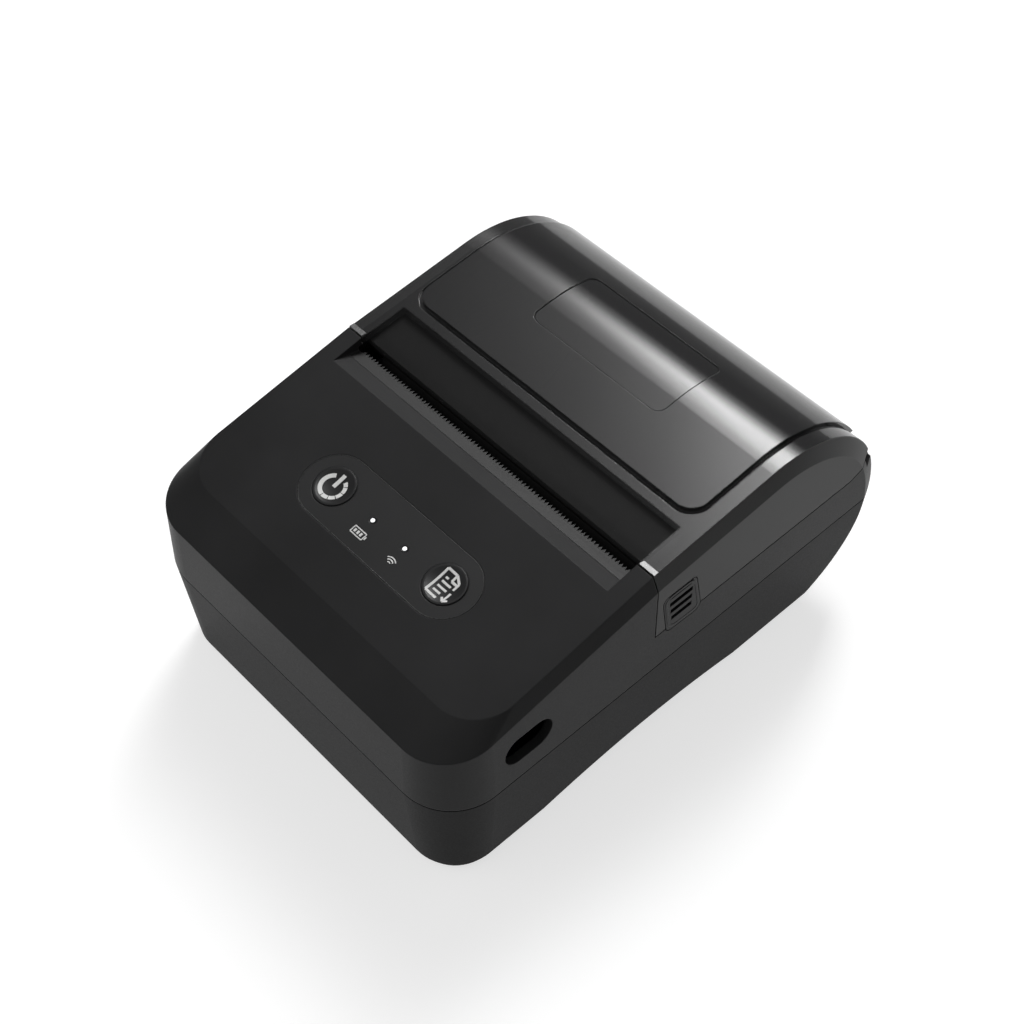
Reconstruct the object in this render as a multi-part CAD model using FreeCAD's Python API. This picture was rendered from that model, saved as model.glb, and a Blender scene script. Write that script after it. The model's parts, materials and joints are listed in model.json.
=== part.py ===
import FreeCAD
import Part
import math
import os

# A portable receipt printer for 80 mm paper, in millimetres.
# +Z is up, the front faces -Y, and the origin is under the middle of the case.
# "Setback" is always the distance behind the front wall.

# Case
width = 100.0
depth = 131.8
foot_proud = 0.6
wall = 2.0
parting_z = 30.2
corner_radius = 13.25
bottom_edge_height = 2.7
bottom_edge_inset = 1.3
lower_taper = 2.2
upper_draft = 0.6
front_wall_top_z = 46.4
top_setback = 10.0
top_front_z = 51.7
top_slope = 10.1
top_corner_radius = 11.0
top_face_margin = 2.35
bevel_steepness = 2.0
bay_behind_frame = 1.3
belly_meets_arch = 20.0
foot_length = 17.0
arch_setback = 56.0
arch_height = 4.8
lip_height = 1.5
lip_thickness = 1.0
lip_reach = 100.0
close_fit = 0.1
seam_gap = 0.15
parting_groove = 0.35
face_draw = 0.35
side_draw = 0.6

# Lid
seam_setback = 58.5
lid_slope = 5.4
lid_radius = 34.9
lid_low_z = 41.5
panel_side_margin = 6.8
panel_behind_seam = 15.7
panel_rear_z = 47.5
panel_raise = 0.8
panel_corner = 4.5
panel_groove = 0.9
panel_groove_depth = 0.5
label_half_width = 20.0
label_behind_panel = 13.8
label_length = 20.4
label_corner = 2.5
label_depth = 0.2
lid_lip_drop = 1.6
lid_lip_length = 3.2
lid_lip_setback = 1.0

# Hinge
barrel_radius = 2.6
hinge_pin_radius = 1.2
case_knuckle_length = 22.65
barrel_end_margin = 3.0
barrel_gap = 0.35
lid_edge_above_axis = 3.5
arm_depth = 4.2

# Tear edge and paper slot
tear_front_before_seam = 8.3
tear_rear_before_seam = 1.1
tear_drop = 2.95
tear_beyond_paper = 3.2
tear_floor = 1.8
tear_bar_thickness = 0.8
tear_bar_land = 3.0
tooth_pitch = 1.24
tooth_end_margin = 1.0
tooth_length = 1.2

# Control panel on the top face
control_setback = 29.2
control_half_spacing = 17.6
control_radius = 8.1
control_thickness = 1.0
button_radius = 4.8
button_clearance = 0.2
button_flange = 1.0
button_flange_thickness = 1.0
button_dish = 0.5
button_rim = 0.48
button_proud = 0.2
button_stem_radius = 1.8
button_stem_length = 1.0
button_travel = 0.4
led_half_spacing = 5.1
led_radius = 0.75

# Key board under the control panel
key_board_half_length = 29.0
key_board_half_width = 8.5
key_board_thickness = 1.2
key_boss_x = 26.2
key_boss_radius = 2.2
key_cable_half = 5.0
film_thickness = 0.3
switch_size = 6.2
switch_body_height = 3.1
switch_cap_height = 0.7
switch_cap_radius = 1.7
switch_gap = 0.1
led_size = 1.6
led_height = 0.8

# Main board and charging socket
board_left_margin = 8.0
board_right_margin = 4.0
board_front_setback = 12.0
board_rear_setback = 44.0
board_thickness = 1.6
board_boss_margin = 12.0
board_boss_setbacks = (15.5, 40.5)
board_boss_radius = 2.5
usb_setback = 22.65
usb_z = 40.05
usb_slot_length = 12.9
usb_slot_height = 8.0
usb_width = 8.94
usb_height = 3.26
usb_depth = 7.3
usb_shell = 0.3
usb_recess = 0.9
usb_back = 1.0
usb_tongue = 0.7
usb_tongue_setback = 0.6
radio_from_boss = 7.0
radio_setback = 14.5
radio_width = 18.0
radio_length = 13.0
radio_board = 0.8
radio_can_width = 12.0
radio_can_inset = 1.0
radio_can_height = 2.0
chips = ((4.0, 20.0, 10.0, 10.0, 1.4), (20.0, 22.0, 7.0, 7.0, 1.0), (-22.0, 36.0, 6.0, 5.0, 1.6))
power_chip_from_boss = 7.0
power_chip_setback = 30.0
power_chip = (5.0, 4.0, 1.6)
capacitor_radius = 3.15
capacitor_height = 5.8
capacitor_setback = 31.0
capacitor_left_margin = 6.0
capacitor_right_margin = 8.5
connector_half = 2.0
connector_height = 2.2
connector_edge = 2.5
head_connector = 26.0
key_connector = 12.0
key_connector_offset = 1.6
motor_connector = 8.0
motor_connector_from_boss = 12.0
battery_connector = 6.0
battery_connector_from_boss = 8.0

# Battery
cell_radius = 9.25
battery_end_margin = 15.0
battery_front_setback = 7.0
battery_z = 7.4
battery_rib_x = 20.0
battery_rib_thickness = 2.0
battery_lead_radius = 0.9
battery_lead_rise = 5.0
battery_lead_climb = 7.0
battery_lead_turn = 4.0
lead_bend_share = 0.45

# Paper bay
bay_gap = 0.4
bay_wall = 1.4
bay_paper_room = 0.6
bay_side_wall = 1.2
bay_rear_z = 36.5
bay_front_z = 44.5
bay_side_z = 41.0
deck_thickness = 1.4
deck_side_margin = 3.4
shelf_top_z = 24.5
shelf_thickness = 2.0
shelf_before_frame = 1.0
sensor_depth = 2.2
sensor_drop = 1.0
sensor_height = 4.0
sensor_left = -15.0
sensor_width = 6.0

# Platen, print head and drive
paper_side_room = 10.0
platen_behind_seam = 8.0
platen_z = 50.3
platen_radius = 6.0
platen_shaft_radius = 1.5
contact_angle = 10.0
paper_gap = 0.2
bush_radius = 3.0
bush_gap = 0.15
frame_thickness = 1.0
frame_paper_room = 1.5
frame_ahead = 18.5
frame_behind = 6.0
frame_shoulder_z = 43.0
frame_slot_clearance = 0.15
frame_slot_wall = 1.2
frame_head_room = 4.6
carrier_cheek = 1.3
carrier_cheek_radius = 4.2
carrier_plate = 1.4
carrier_length = 12.4
carrier_start = 0.8
carrier_lip = 1.2
carrier_lip_depth = 2.6
carrier_rear_depth = 3.0
carrier_boss_radius = 2.5
carrier_tab_inset = 6.0
carrier_tab_drop = 1.6
carrier_tab_behind = 3.4
carrier_tab_half = 3.5
running_fit = 0.05
gear_module = 0.5
platen_teeth = 24
idler_teeth = 30
pinion_teeth = 12
gear_face = 1.8
gear_side_gap = 0.2
gear_backlash = 0.12
gear_centre_slack = 0.06
pressure_angle = 20.0
root_factor = 1.25
flank_steps = 3
pinion_direction = 195.0
idler_pin_radius = 1.5
idler_pin_end = 0.6
idler_collar = 1.2
idler_clip_thickness = 0.3
motor_radius = 7.2
motor_length = 15.0
motor_flange = 1.2
motor_pilot_step = 0.5
motor_end_cap = 2.0
motor_screw_end = 0.6
motor_ear_reach = 9.6
motor_ear_radius = 2.2
motor_ear_angles = (110.0, 330.0)
motor_shaft_radius = 0.75
motor_shaft_end = 0.3
motor_lead_radius = 0.8
motor_lead_bends = ((-4.0, 0.0, 0.0), (-5.0, -4.0, 1.0))
motor_lead_plug_run = 3.0
head_ceramic = 0.8
head_sink = 3.0
head_below = 7.0
head_above = 4.5
head_pivot_below = 5.2
head_pivot_radius = 0.9
head_pin_proud = 0.2
head_end_gap = 0.3
head_cable_half = 11.0
head_cable_bend = 3.0
head_cable_grip = 0.6
spring_wire = 0.4
spring_radius = 1.8
spring_turns = 4
spring_x = 20.0
spring_above = 1.5
spring_length = 5.4
spring_bar_margin = 0.5

# Lid release buttons
release_behind_seam = ((1.7, 52.2), (3.4, 40.2), (13.8, 39.8), (11.5, 52.2))
release_corner = 1.6
release_clearance = 0.2
release_flange = 1.0
release_flange_thickness = 0.9
release_groove_depth = 0.5
release_groove_height = 1.3
release_groove_pitch = 2.5
release_groove_first_z = 43.3
release_groove_count = 4
release_nose_width = 1.6
release_nose_height = 1.2
release_nose_gap = 0.2

# Screws and feet
case_screw_front_margin = 10.0
case_screw_front_setback = 33.0
case_screw_rear_margin = 4.8
case_screw_rear_setback = 84.0
case_boss_radius = 3.0
case_screw_seat_z = 9.0
case_screw_reach = 4.5
screw_reach = 7.5
screw_radius = 1.1
screw_head_radius = 2.1
screw_head_height = 1.5
screw_slot_width = 0.6
screw_slot_depth = 0.6
screw_hole_gap = 0.02
post_inset = 4.0
post_front_inset = 2.0
post_rear_inset = 3.5
post_radius = 3.0
foot_radius = 4.5
foot_depth = 1.0
foot_side_margin = 14.0
foot_front_setback = 9.5

# Reach of the cutting shapes
far = 300.0
overrun = 20.0
cut_over = 1.0

V = FreeCAD.Vector
X_AXIS = V(1, 0, 0)
rad = math.radians
half_width = width / 2
top_half_width = half_width - top_face_margin
screw_hole_radius = screw_radius + screw_hole_gap

# Places along the machine, from the seam between case and lid
platen_setback = seam_setback + platen_behind_seam
tear_front_setback = seam_setback - tear_front_before_seam
tear_rear_setback = seam_setback - tear_rear_before_seam
frame_front_setback = platen_setback - frame_ahead
frame_rear_setback = platen_setback + frame_behind
shelf_front_setback = frame_front_setback - shelf_before_frame
post_setbacks = (frame_front_setback + post_front_inset, frame_rear_setback - post_rear_inset)
panel_front_setback = seam_setback + panel_behind_seam
label_front_setback = panel_front_setback + label_behind_panel
label_rear_setback = label_front_setback + label_length
release_outline = [(seam_setback + behind, z) for behind, z in release_behind_seam]

# Places across the machine, from its sides and the paper
paper_half = half_width - paper_side_room
tear_half_width = paper_half + tear_beyond_paper
tooth_count = int(2 * (tear_half_width - tooth_end_margin) / tooth_pitch)
panel_half_width = half_width - panel_side_margin
case_barrel_end = half_width - barrel_end_margin
lid_barrel_half = case_barrel_end - barrel_gap - case_knuckle_length
board_left = board_left_margin - half_width
board_right = half_width - board_right_margin
board_boss_x = half_width - board_boss_margin
bay_half_width = paper_half + bay_paper_room
deck_half_width = half_width - deck_side_margin
frame_half_width = paper_half + frame_paper_room
carrier_tab_x = paper_half - carrier_tab_inset
post_x = paper_half - post_inset
foot_x = half_width - foot_side_margin
battery_half_length = half_width - battery_end_margin
case_screws_at = (
    (half_width - case_screw_front_margin, case_screw_front_setback),
    (half_width - case_screw_rear_margin, case_screw_rear_setback),
)


def front(setback):
    """The Y of a point that lies this far behind the front wall."""
    return setback - depth / 2


def top_z(setback):
    """Height of the sloping top face."""
    return top_front_z + (setback - top_setback) * math.tan(rad(top_slope))


def lid_z(setback):
    """Height of the straight part of the lid, flush with the top face at the seam."""
    return top_z(seam_setback) + (setback - seam_setback) * math.tan(rad(lid_slope))


def at_angle(centre, radius, angle):
    """A (setback, z) point on a circle, the angle in degrees up from the rear."""
    return centre[0] + radius * math.cos(rad(angle)), centre[1] + radius * math.sin(rad(angle))


def belly_centre():
    return depth - belly_radius, foot_proud + belly_radius


def lid_centre():
    """Centre of the lid's curve, which touches the straight part and the belly."""
    belly = belly_centre()
    along = (math.cos(rad(lid_slope)), math.sin(rad(lid_slope)))
    rise = lid_z(belly[0]) - lid_radius / along[0] - belly[1]
    lead = rise * along[1]
    step = -lead - math.sqrt(lead ** 2 - rise ** 2 + (lid_radius - belly_radius) ** 2)
    return belly[0] + step * along[0], belly[1] + rise + step * along[1]


def point(setback, z, x=0.0):
    return V(x, front(setback), z)


def line(start, end):
    return Part.LineSegment(start, end).toShape()


def arc(start, middle, end):
    return Part.Arc(start, middle, end).toShape()


def slab(points, x0, x1):
    """A flat outline of (setback, z) points, carried from x0 to x1."""
    corners = [point(setback, z, x0) for setback, z in points]
    outline = Part.Face(Part.makePolygon(corners + corners[:1]))
    return outline.extrude(V(x1 - x0, 0, 0))


def drum(radius, x0, x1, centre):
    """A round bar along X about a (setback, z) centre."""
    return Part.makeCylinder(radius, x1 - x0, point(centre[0], centre[1], x0), X_AXIS)


def block(x0, x1, y0, y1, z0, z1):
    return Part.makeBox(x1 - x0, y1 - y0, z1 - z0, V(x0, y0, z0))


def stadium(half_length, radius, thickness, z0):
    """An upright plate with round ends, lying along X."""
    middle = block(-half_length, half_length, -radius, radius, z0, z0 + thickness)
    ends = [Part.makeCylinder(radius, thickness, V(x, 0, z0)) for x in (-half_length, half_length)]
    return middle.fuse(ends).removeSplitter()


def rounded_prism(corners, radius, x0, x1):
    """An outline of (setback, z) points with round corners, carried from x0 to x1."""
    edges = []
    joints = []
    count = len(corners)
    for index, corner in enumerate(corners):
        here = point(corner[0], corner[1], x0)
        before = point(corners[index - 1][0], corners[index - 1][1], x0) - here
        after = point(corners[(index + 1) % count][0], corners[(index + 1) % count][1], x0) - here
        before.normalize()
        after.normalize()
        half = before.getAngle(after) / 2
        reach = radius / math.tan(half)
        bisector = (before + after).normalize()
        middle = here + bisector * (radius / math.sin(half) - radius)
        joints.append((here + before * reach, middle, here + after * reach))
    for index, (start, middle, end) in enumerate(joints):
        edges.append(arc(start, middle, end))
        edges.append(line(end, joints[(index + 1) % count][0]))
    return Part.Face(Part.Wire(edges)).extrude(V(x1 - x0, 0, 0))


def screw(length, radius=screw_radius, head_radius=screw_head_radius):
    """A slotted screw pointing up +Z, with the underside of its head at the origin."""
    head = Part.makeCylinder(head_radius, screw_head_height, V(0, 0, -screw_head_height))
    slot = block(-head_radius, head_radius, -screw_slot_width / 2, screw_slot_width / 2,
                 -screw_head_height, screw_slot_depth - screw_head_height)
    return head.cut(slot).fuse(Part.makeCylinder(radius, length)).removeSplitter()


def placed(shape, placement):
    moved = shape.copy()
    moved.Placement = placement.multiply(moved.Placement)
    return moved


def moved_to(shape, x, y, z):
    return placed(shape, FreeCAD.Placement(V(x, y, z), FreeCAD.Rotation()))


def group(solids):
    return Part.makeCompound(solids)


def mirrored(shape):
    return shape.mirror(V(0, 0, 0), X_AXIS)


def frame_at(setback, z, tilt):
    """A frame whose Y runs backwards along a slope of this many degrees."""
    return FreeCAD.Placement(point(setback, z), FreeCAD.Rotation(X_AXIS, tilt))


# The belly is as large as the room behind the frame and the height at the seam allow
belly_radius = min(depth - frame_rear_setback - bay_behind_frame, top_z(seam_setback) - foot_proud) / 2

# Frames that the pieces are laid out in
top_frame = frame_at(control_setback, top_z(control_setback), top_slope)
lid_frame = frame_at(seam_setback, lid_z(seam_setback), lid_slope)
tear_run = tear_rear_setback - tear_front_setback
tear_fall = top_z(tear_rear_setback) - tear_drop - top_z(tear_front_setback)
tear_tilt = math.degrees(math.atan2(tear_fall, tear_run))
tear_frame = frame_at(tear_front_setback, top_z(tear_front_setback), tear_tilt)
hinge_angle = math.degrees(math.asin((lid_low_z - lid_centre()[1]) / lid_radius))
hinge_axis = at_angle(lid_centre(), lid_radius - barrel_radius, hinge_angle)
hinge_frame = frame_at(hinge_axis[0], hinge_axis[1], hinge_angle)

# The drive: the lid lifts the platen straight off the idler
platen = (platen_setback, platen_z)
lift_angle = math.degrees(math.atan2(platen_z - hinge_axis[1], platen_setback - hinge_axis[0])) - 90
mesh_idler = gear_module * (platen_teeth + idler_teeth) / 2 + gear_centre_slack
mesh_pinion = gear_module * (pinion_teeth + idler_teeth) / 2 + gear_centre_slack
idler = at_angle(platen, mesh_idler, lift_angle + 180)
pinion = at_angle(idler, mesh_pinion, pinion_direction)
head_contact = at_angle(platen, platen_radius, 180 + contact_angle)
head_frame = frame_at(head_contact[0], head_contact[1], 90 + contact_angle)
head_pivot_depth = paper_gap + head_ceramic + head_sink / 2

# Widths across the machine, from the paper outwards
frame_inner = frame_half_width - frame_thickness
cheek_inner = frame_half_width + barrel_gap
cheek_outer = cheek_inner + carrier_cheek
gear_inner = cheek_outer + gear_side_gap
gear_outer = gear_inner + gear_face
board_top_z = usb_z - usb_height / 2
board_z = board_top_z - board_thickness
bay_outer = belly_radius - wall - bay_gap
bay_inner = bay_outer - bay_wall
bay_front = belly_centre()[0] - bay_outer
side_outer = bay_half_width + bay_side_wall


def plan_outline(half, radius, setback, z, tilt):
    """A level or tilted outline with two round front corners and an open-ended rear."""
    rear = depth + overrun
    turn = radius * (1 - math.sqrt(0.5))
    corners = [
        line(V(-half, rear, 0), V(-half, radius, 0)),
        arc(V(-half, radius, 0), V(turn - half, turn, 0), V(radius - half, 0, 0)),
        line(V(radius - half, 0, 0), V(half - radius, 0, 0)),
        arc(V(half - radius, 0, 0), V(half - turn, turn, 0), V(half, radius, 0)),
        line(V(half, radius, 0), V(half, rear, 0)),
        line(V(half, rear, 0), V(-half, rear, 0)),
    ]
    outline = Part.Wire(corners)
    outline.Placement = frame_at(setback, z, tilt)
    return outline


def plan_body(inset):
    """The case seen from above: tapered below the parting line, bevelled round the top face."""
    bottom = lower_taper + bottom_edge_inset + inset
    edge = lower_taper + inset
    rim = upper_draft + inset
    face_shift = face_draw * inset
    face_z = top_z(top_setback + face_shift) - inset / math.cos(rad(top_slope))
    outlines = [
        plan_outline(half_width - bottom, corner_radius - bottom, bottom, foot_proud + inset, 0),
        plan_outline(half_width - edge, corner_radius - edge, edge,
                     foot_proud + bottom_edge_height + inset / 2, 0),
        plan_outline(half_width - inset, corner_radius - inset, inset, parting_z, 0),
        plan_outline(half_width - rim, corner_radius - rim, rim,
                     front_wall_top_z - inset / 2, top_slope),
        plan_outline(top_half_width - side_draw * inset, top_corner_radius - face_shift,
                     top_setback + face_shift, face_z, top_slope),
    ]
    return Part.makeLoft(outlines, True, True)


def side_outline(inset, x):
    """The case seen from the side: lid, rounded rear, belly, arch and front foot."""
    lid = lid_centre()
    belly = belly_centre()
    up = 90 + lid_slope
    meet = math.degrees(math.atan2(belly[1] - lid[1], belly[0] - lid[0]))
    drop = 270 - belly_meets_arch - 360
    lid_front = lid_z(seam_setback) - inset / math.cos(rad(lid_slope))
    top_start = at_angle(lid, lid_radius - inset, up)
    top_middle = at_angle(lid, lid_radius - inset, (up + meet) / 2)
    rear = at_angle(belly, belly_radius - inset, meet)
    belly_middle = at_angle(belly, belly_radius - inset, (meet + drop) / 2)
    belly_end = at_angle(belly, belly_radius - inset, drop)
    floor = foot_proud + inset
    path = [
        (seam_setback, far), (seam_setback, lid_front), top_start, rear, belly_end,
        (foot_length, floor), (-far, floor), (-far, far),
    ]
    arcs = {2: top_middle, 3: belly_middle, 4: (arch_setback, floor + arch_height)}
    edges = []
    for index, (setback, z) in enumerate(path):
        start = point(setback, z, x)
        end = point(*path[(index + 1) % len(path)], x)
        if index in arcs:
            edges.append(arc(start, point(*arcs[index], x), end))
        else:
            edges.append(line(start, end))
    return Part.Wire(edges)


def side_body(inset):
    """The side outline across the width, drawn in along both sides as a steep bevel."""
    inner = top_half_width - side_draw * inset
    outer = half_width + wall / 2
    bevel = inset + bevel_steepness * (outer - inner)
    sections = [(-outer, bevel), (-inner, inset), (inner, inset), (outer, bevel)]
    return Part.makeLoft([side_outline(offset, x) for x, offset in sections], True, True)


def envelope(inset):
    """The outside of the closed machine, or the same drawn in by a wall."""
    return plan_body(inset).common(side_body(inset))


def hinge_point(outward, upward):
    """A (setback, z) point given outwards and along the skin from the hinge axis."""
    at = hinge_frame.multVec(V(0, outward, upward))
    return at.y + depth / 2, at.z


def lid_zone(gap):
    """Side outline of all that swings with the lid, drawn in by a gap."""
    edge = lid_edge_above_axis
    seam = seam_setback + gap
    low = lid_low_z + gap
    forward = (low - hinge_axis[1] - edge * math.cos(rad(hinge_angle))) / math.sin(rad(hinge_angle))
    notch = hinge_point(forward, edge)
    rear = hinge_point(overrun, edge)
    return slab([(seam, far), (seam, low), notch, rear, (rear[0], far)], -far, far)


def case_zone():
    """Side outline of the fixed upper case, up to the lid's seam and the hinge."""
    edge = lid_edge_above_axis - 2 * seam_gap
    low = lid_low_z - seam_gap
    forward = (low - hinge_axis[1] - edge * math.cos(rad(hinge_angle))) / math.sin(rad(hinge_angle))
    outline = [
        (-far, parting_z), (-far, far), (seam_setback - seam_gap, far), (seam_setback - seam_gap, low),
        hinge_point(forward, edge), hinge_point(-close_fit, edge), hinge_point(-close_fit, -barrel_gap),
        hinge_point(overrun, -barrel_gap),
        (depth + far, parting_z),
    ]
    return slab(outline, -far, far)


def release_hole(clearance):
    """The opening that a release button moves in, on the right-hand side."""
    centre_y = sum(corner[0] for corner in release_outline) / len(release_outline)
    centre_z = sum(corner[1] for corner in release_outline) / len(release_outline)
    grown = []
    for setback, z in release_outline:
        grown.append((setback + math.copysign(clearance, setback - centre_y),
                      z + math.copysign(clearance, z - centre_z)))
    return rounded_prism(grown, release_corner + clearance, half_width - wall * 3, half_width + wall)


def release_button(side_shell):
    """A ribbed button that is squeezed inwards, with a flange inside the wall and a wedge nose."""
    face = release_hole(0.0).common(side_shell)
    inner_x = half_width - wall - release_flange_thickness - upper_draft
    flange = release_hole(release_flange)
    flange = flange.common(block(inner_x, inner_x + release_flange_thickness, -far, far, -far, far))
    stem = release_hole(0.0).common(block(inner_x, half_width - wall / 2, -far, far, -far, far))
    stem = stem.common(outer_body)
    button = face.fuse([flange, stem])
    cuts = []
    upper, lower, rear = release_outline[:3]
    lean = (upper[0] - lower[0]) / (upper[1] - lower[1])
    end = rear[0] - release_corner * 2
    depth_x = half_width - upper_draft - release_groove_depth
    for index in range(release_groove_count):
        low = release_groove_first_z + index * release_groove_pitch
        start = lower[0] + lean * (low - lower[1]) + release_corner
        cuts.append(block(depth_x, half_width + wall, front(start), front(end), low,
                          low + release_groove_height))
    button = button.cut(cuts)
    nose_rear = front(frame_rear_setback)
    tip = frame_half_width + barrel_gap + button_clearance
    low = frame_shoulder_z + release_nose_gap
    high = low + release_nose_height
    slope = release_nose_height / 2
    profile = [V(tip, 0, low + slope), V(tip, 0, high), V(inner_x, 0, high), V(inner_x, 0, low),
               V(tip + slope, 0, low)]
    nose = Part.Face(Part.makePolygon(profile + profile[:1])).extrude(V(0, release_nose_width, 0))
    nose.translate(V(0, nose_rear - release_nose_width, 0))
    return button.fuse(nose).removeSplitter()


def gear(teeth, x0, x1, centre, turn, bore):
    """An involute spur gear along X, thinned by the backlash, with one tooth at the turn angle."""
    pitch = gear_module * teeth / 2
    base = pitch * math.cos(rad(pressure_angle))
    tip = pitch + gear_module
    root = pitch - root_factor * gear_module
    spread = math.tan(rad(pressure_angle)) - rad(pressure_angle)
    half_tooth = math.pi / (2 * teeth) - gear_backlash / (4 * pitch) + spread
    start = max(base, root)
    flank = []
    for step in range(flank_steps + 1):
        radius = start + (tip - start) * step / flank_steps
        roll = math.acos(min(1.0, base / radius))
        flank.append((radius, half_tooth - (math.tan(roll) - roll)))
    outline = []
    for tooth in range(teeth):
        middle = rad(turn) + 2 * math.pi * tooth / teeth
        outline.append((root, middle - flank[0][1]))
        outline += [(radius, middle - angle) for radius, angle in flank]
        outline += [(radius, middle + angle) for radius, angle in reversed(flank)]
        outline.append((root, middle + flank[0][1]))
    points = [at_angle(centre, radius, math.degrees(angle)) for radius, angle in outline]
    wheel = slab([p for i, p in enumerate(points) if p != points[i - 1]], x0, x1)
    return wheel.cut(drum(bore, x0, x1, centre))


def mesh_turn(teeth, followed_turn, followed_teeth, direction):
    """Turn of a gear that puts a gap where the followed gear's tooth lies.

    The direction runs from the followed gear's centre to this gear's centre.
    """
    phase = (direction - followed_turn) * followed_teeth / 360
    return direction + 180 + (phase + 0.5) * 360 / teeth


def coil(radius, wire, turns, length):
    """A compression spring along +Z: one wire on quarter-turn biarcs of a helix."""
    quarters = turns * 4
    height = length - wire
    climb = height / (2 * math.pi * turns)

    def helix(angle):
        at = V(radius * math.cos(angle), radius * math.sin(angle), wire / 2 + climb * angle)
        way = V(-radius * math.sin(angle), radius * math.cos(angle), climb)
        return at, way.normalize()

    edges = []
    for quarter in range(quarters):
        p0, t0 = helix(quarter * math.pi / 2)
        p1, t1 = helix((quarter + 1) * math.pi / 2)
        chord = p1 - p0
        both = t0 + t1
        spread = 2 * (1 - t0.dot(t1))
        reach = (math.sqrt(chord.dot(both) ** 2 + spread * chord.dot(chord)) - chord.dot(both)) / spread
        joint = (p0 + t0 * reach + p1 - t1 * reach) * 0.5
        for start, corner, end in ((p0, p0 + t0 * reach, joint), (joint, p1 - t1 * reach, p1)):
            middle = (start + end) * 0.5
            share = (end - start).Length / 2 / reach
            edges.append(arc(start, middle + (corner - middle) * (share / (1 + share)), end))
    path = Part.Wire(edges)
    at, way = helix(0.0)
    section = Part.Wire(Part.makeCircle(wire / 2, at, way))
    print("spring gap between turns", round(height / turns - wire, 2))
    return path.makePipeShell([section], True, False)


def tube(points, radius):
    """A lead along straight runs joined by arcs as large as the runs allow."""
    corners = [V(*p) for p in points]
    edges = []
    last = corners[0]
    for before, here, after in zip(corners, corners[1:], corners[2:]):
        back = before - here
        on = after - here
        run = lead_bend_share * min(back.Length, on.Length)
        back.normalize()
        on.normalize()
        half = back.getAngle(on) / 2
        bend = run * math.tan(half)
        middle = here + (back + on).normalize() * (bend / math.sin(half) - bend)
        edges.append(line(last, here + back * run))
        edges.append(arc(here + back * run, middle, here + on * run))
        last = here + on * run
    edges.append(line(last, corners[-1]))
    start = Part.Wire(Part.makeCircle(radius, corners[0], corners[1] - corners[0]))
    return Part.Wire(edges).makePipeShell([start], True, False)


def strip(points, thickness, x0, x1):
    """A flat cable across X: a band of one thickness above a line of (setback, z) points."""
    upper = [(setback, z + thickness) for setback, z in reversed(points)]
    return slab(list(points) + upper, x0, x1)


outer_body = envelope(0.0)
inner_body = envelope(wall)
shell = outer_body.cut(inner_body)


def make_bottom_case():
    """Lower half: tapered walls, arch and belly, with bosses, posts, ribs and foot pockets."""
    below = block(-far, far, -far, far, -far, parting_z)
    case = shell.common(below)
    additions = []
    for x, setback in case_screws_at:
        additions += [Part.makeCylinder(case_boss_radius, parting_z, V(side * x, front(setback), 0))
                      for side in (-1, 1)]
    post_height = shelf_top_z - shelf_thickness
    for setback in post_setbacks:
        additions += [Part.makeCylinder(post_radius, post_height, V(side * post_x, front(setback), 0))
                      for side in (-1, 1)]
    rib_rear = battery_front_setback + cell_radius * 4
    for side in (-1, 1):
        x = side * battery_rib_x
        additions.append(block(x - battery_rib_thickness / 2, x + battery_rib_thickness / 2,
                               front(battery_front_setback), front(rib_rear), 0, battery_z))
        for setback in (battery_front_setback - battery_rib_thickness - close_fit, rib_rear + close_fit):
            additions.append(block(x - battery_rib_thickness / 2, x + battery_rib_thickness / 2,
                                   front(setback), front(setback + battery_rib_thickness),
                                   0, battery_z + cell_radius))
    case = case.fuse([piece.common(outer_body) for piece in additions])
    lip = envelope(wall + close_fit).cut(envelope(wall + close_fit + lip_thickness))
    lip = lip.common(block(-far, far, -far, front(lip_reach), parting_z - 2 * lip_height,
                           parting_z + lip_height))
    clear = case_boss_radius + 2 * close_fit
    for x, setback in case_screws_at:
        lip = lip.cut([block(side * x - far * (side < 0), side * x + far * (side > 0),
                             front(setback) - clear, front(setback) + clear, parting_z, far)
                       for side in (-1, 1)])
    bridge = envelope(wall - close_fit).cut(envelope(wall + close_fit + lip_thickness))
    bridge = bridge.common(block(-far, far, -far, front(lip_reach), parting_z - 2 * lip_height,
                                 parting_z - lip_height))
    case = case.fuse([lip, bridge])
    groove = outer_body.cut(envelope(parting_groove))
    groove = groove.common(block(-far, far, -far, far, parting_z - parting_groove, parting_z))
    holes = [groove]
    for x, setback in case_screws_at:
        for side in (-1, 1):
            at = V(side * x, front(setback), -cut_over)
            seat = case_screw_seat_z + cut_over
            holes.append(Part.makeCylinder(screw_head_radius + close_fit, seat, at))
            holes.append(Part.makeCylinder(screw_hole_radius, parting_z + lip_height * 2, at))
    for setback in post_setbacks:
        for side in (-1, 1):
            at = V(side * post_x, front(setback), post_height - screw_reach)
            holes.append(Part.makeCylinder(screw_hole_radius, screw_reach + cut_over, at))
    holes += [Part.makeCylinder(foot_radius, foot_proud + foot_depth + cut_over, V(x, y, -cut_over))
              for x, y in foot_places()]
    return case.cut(holes).removeSplitter()


def foot_places():
    setbacks = (foot_front_setback, belly_centre()[0])
    return [(side * foot_x, front(setback)) for setback in setbacks for side in (-1, 1)]


def make_rubber_feet():
    """Four round pads in pockets, standing a little below the case."""
    return group([Part.makeCylinder(foot_radius, foot_proud + foot_depth, V(x, y, 0))
                  for x, y in foot_places()])


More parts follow.
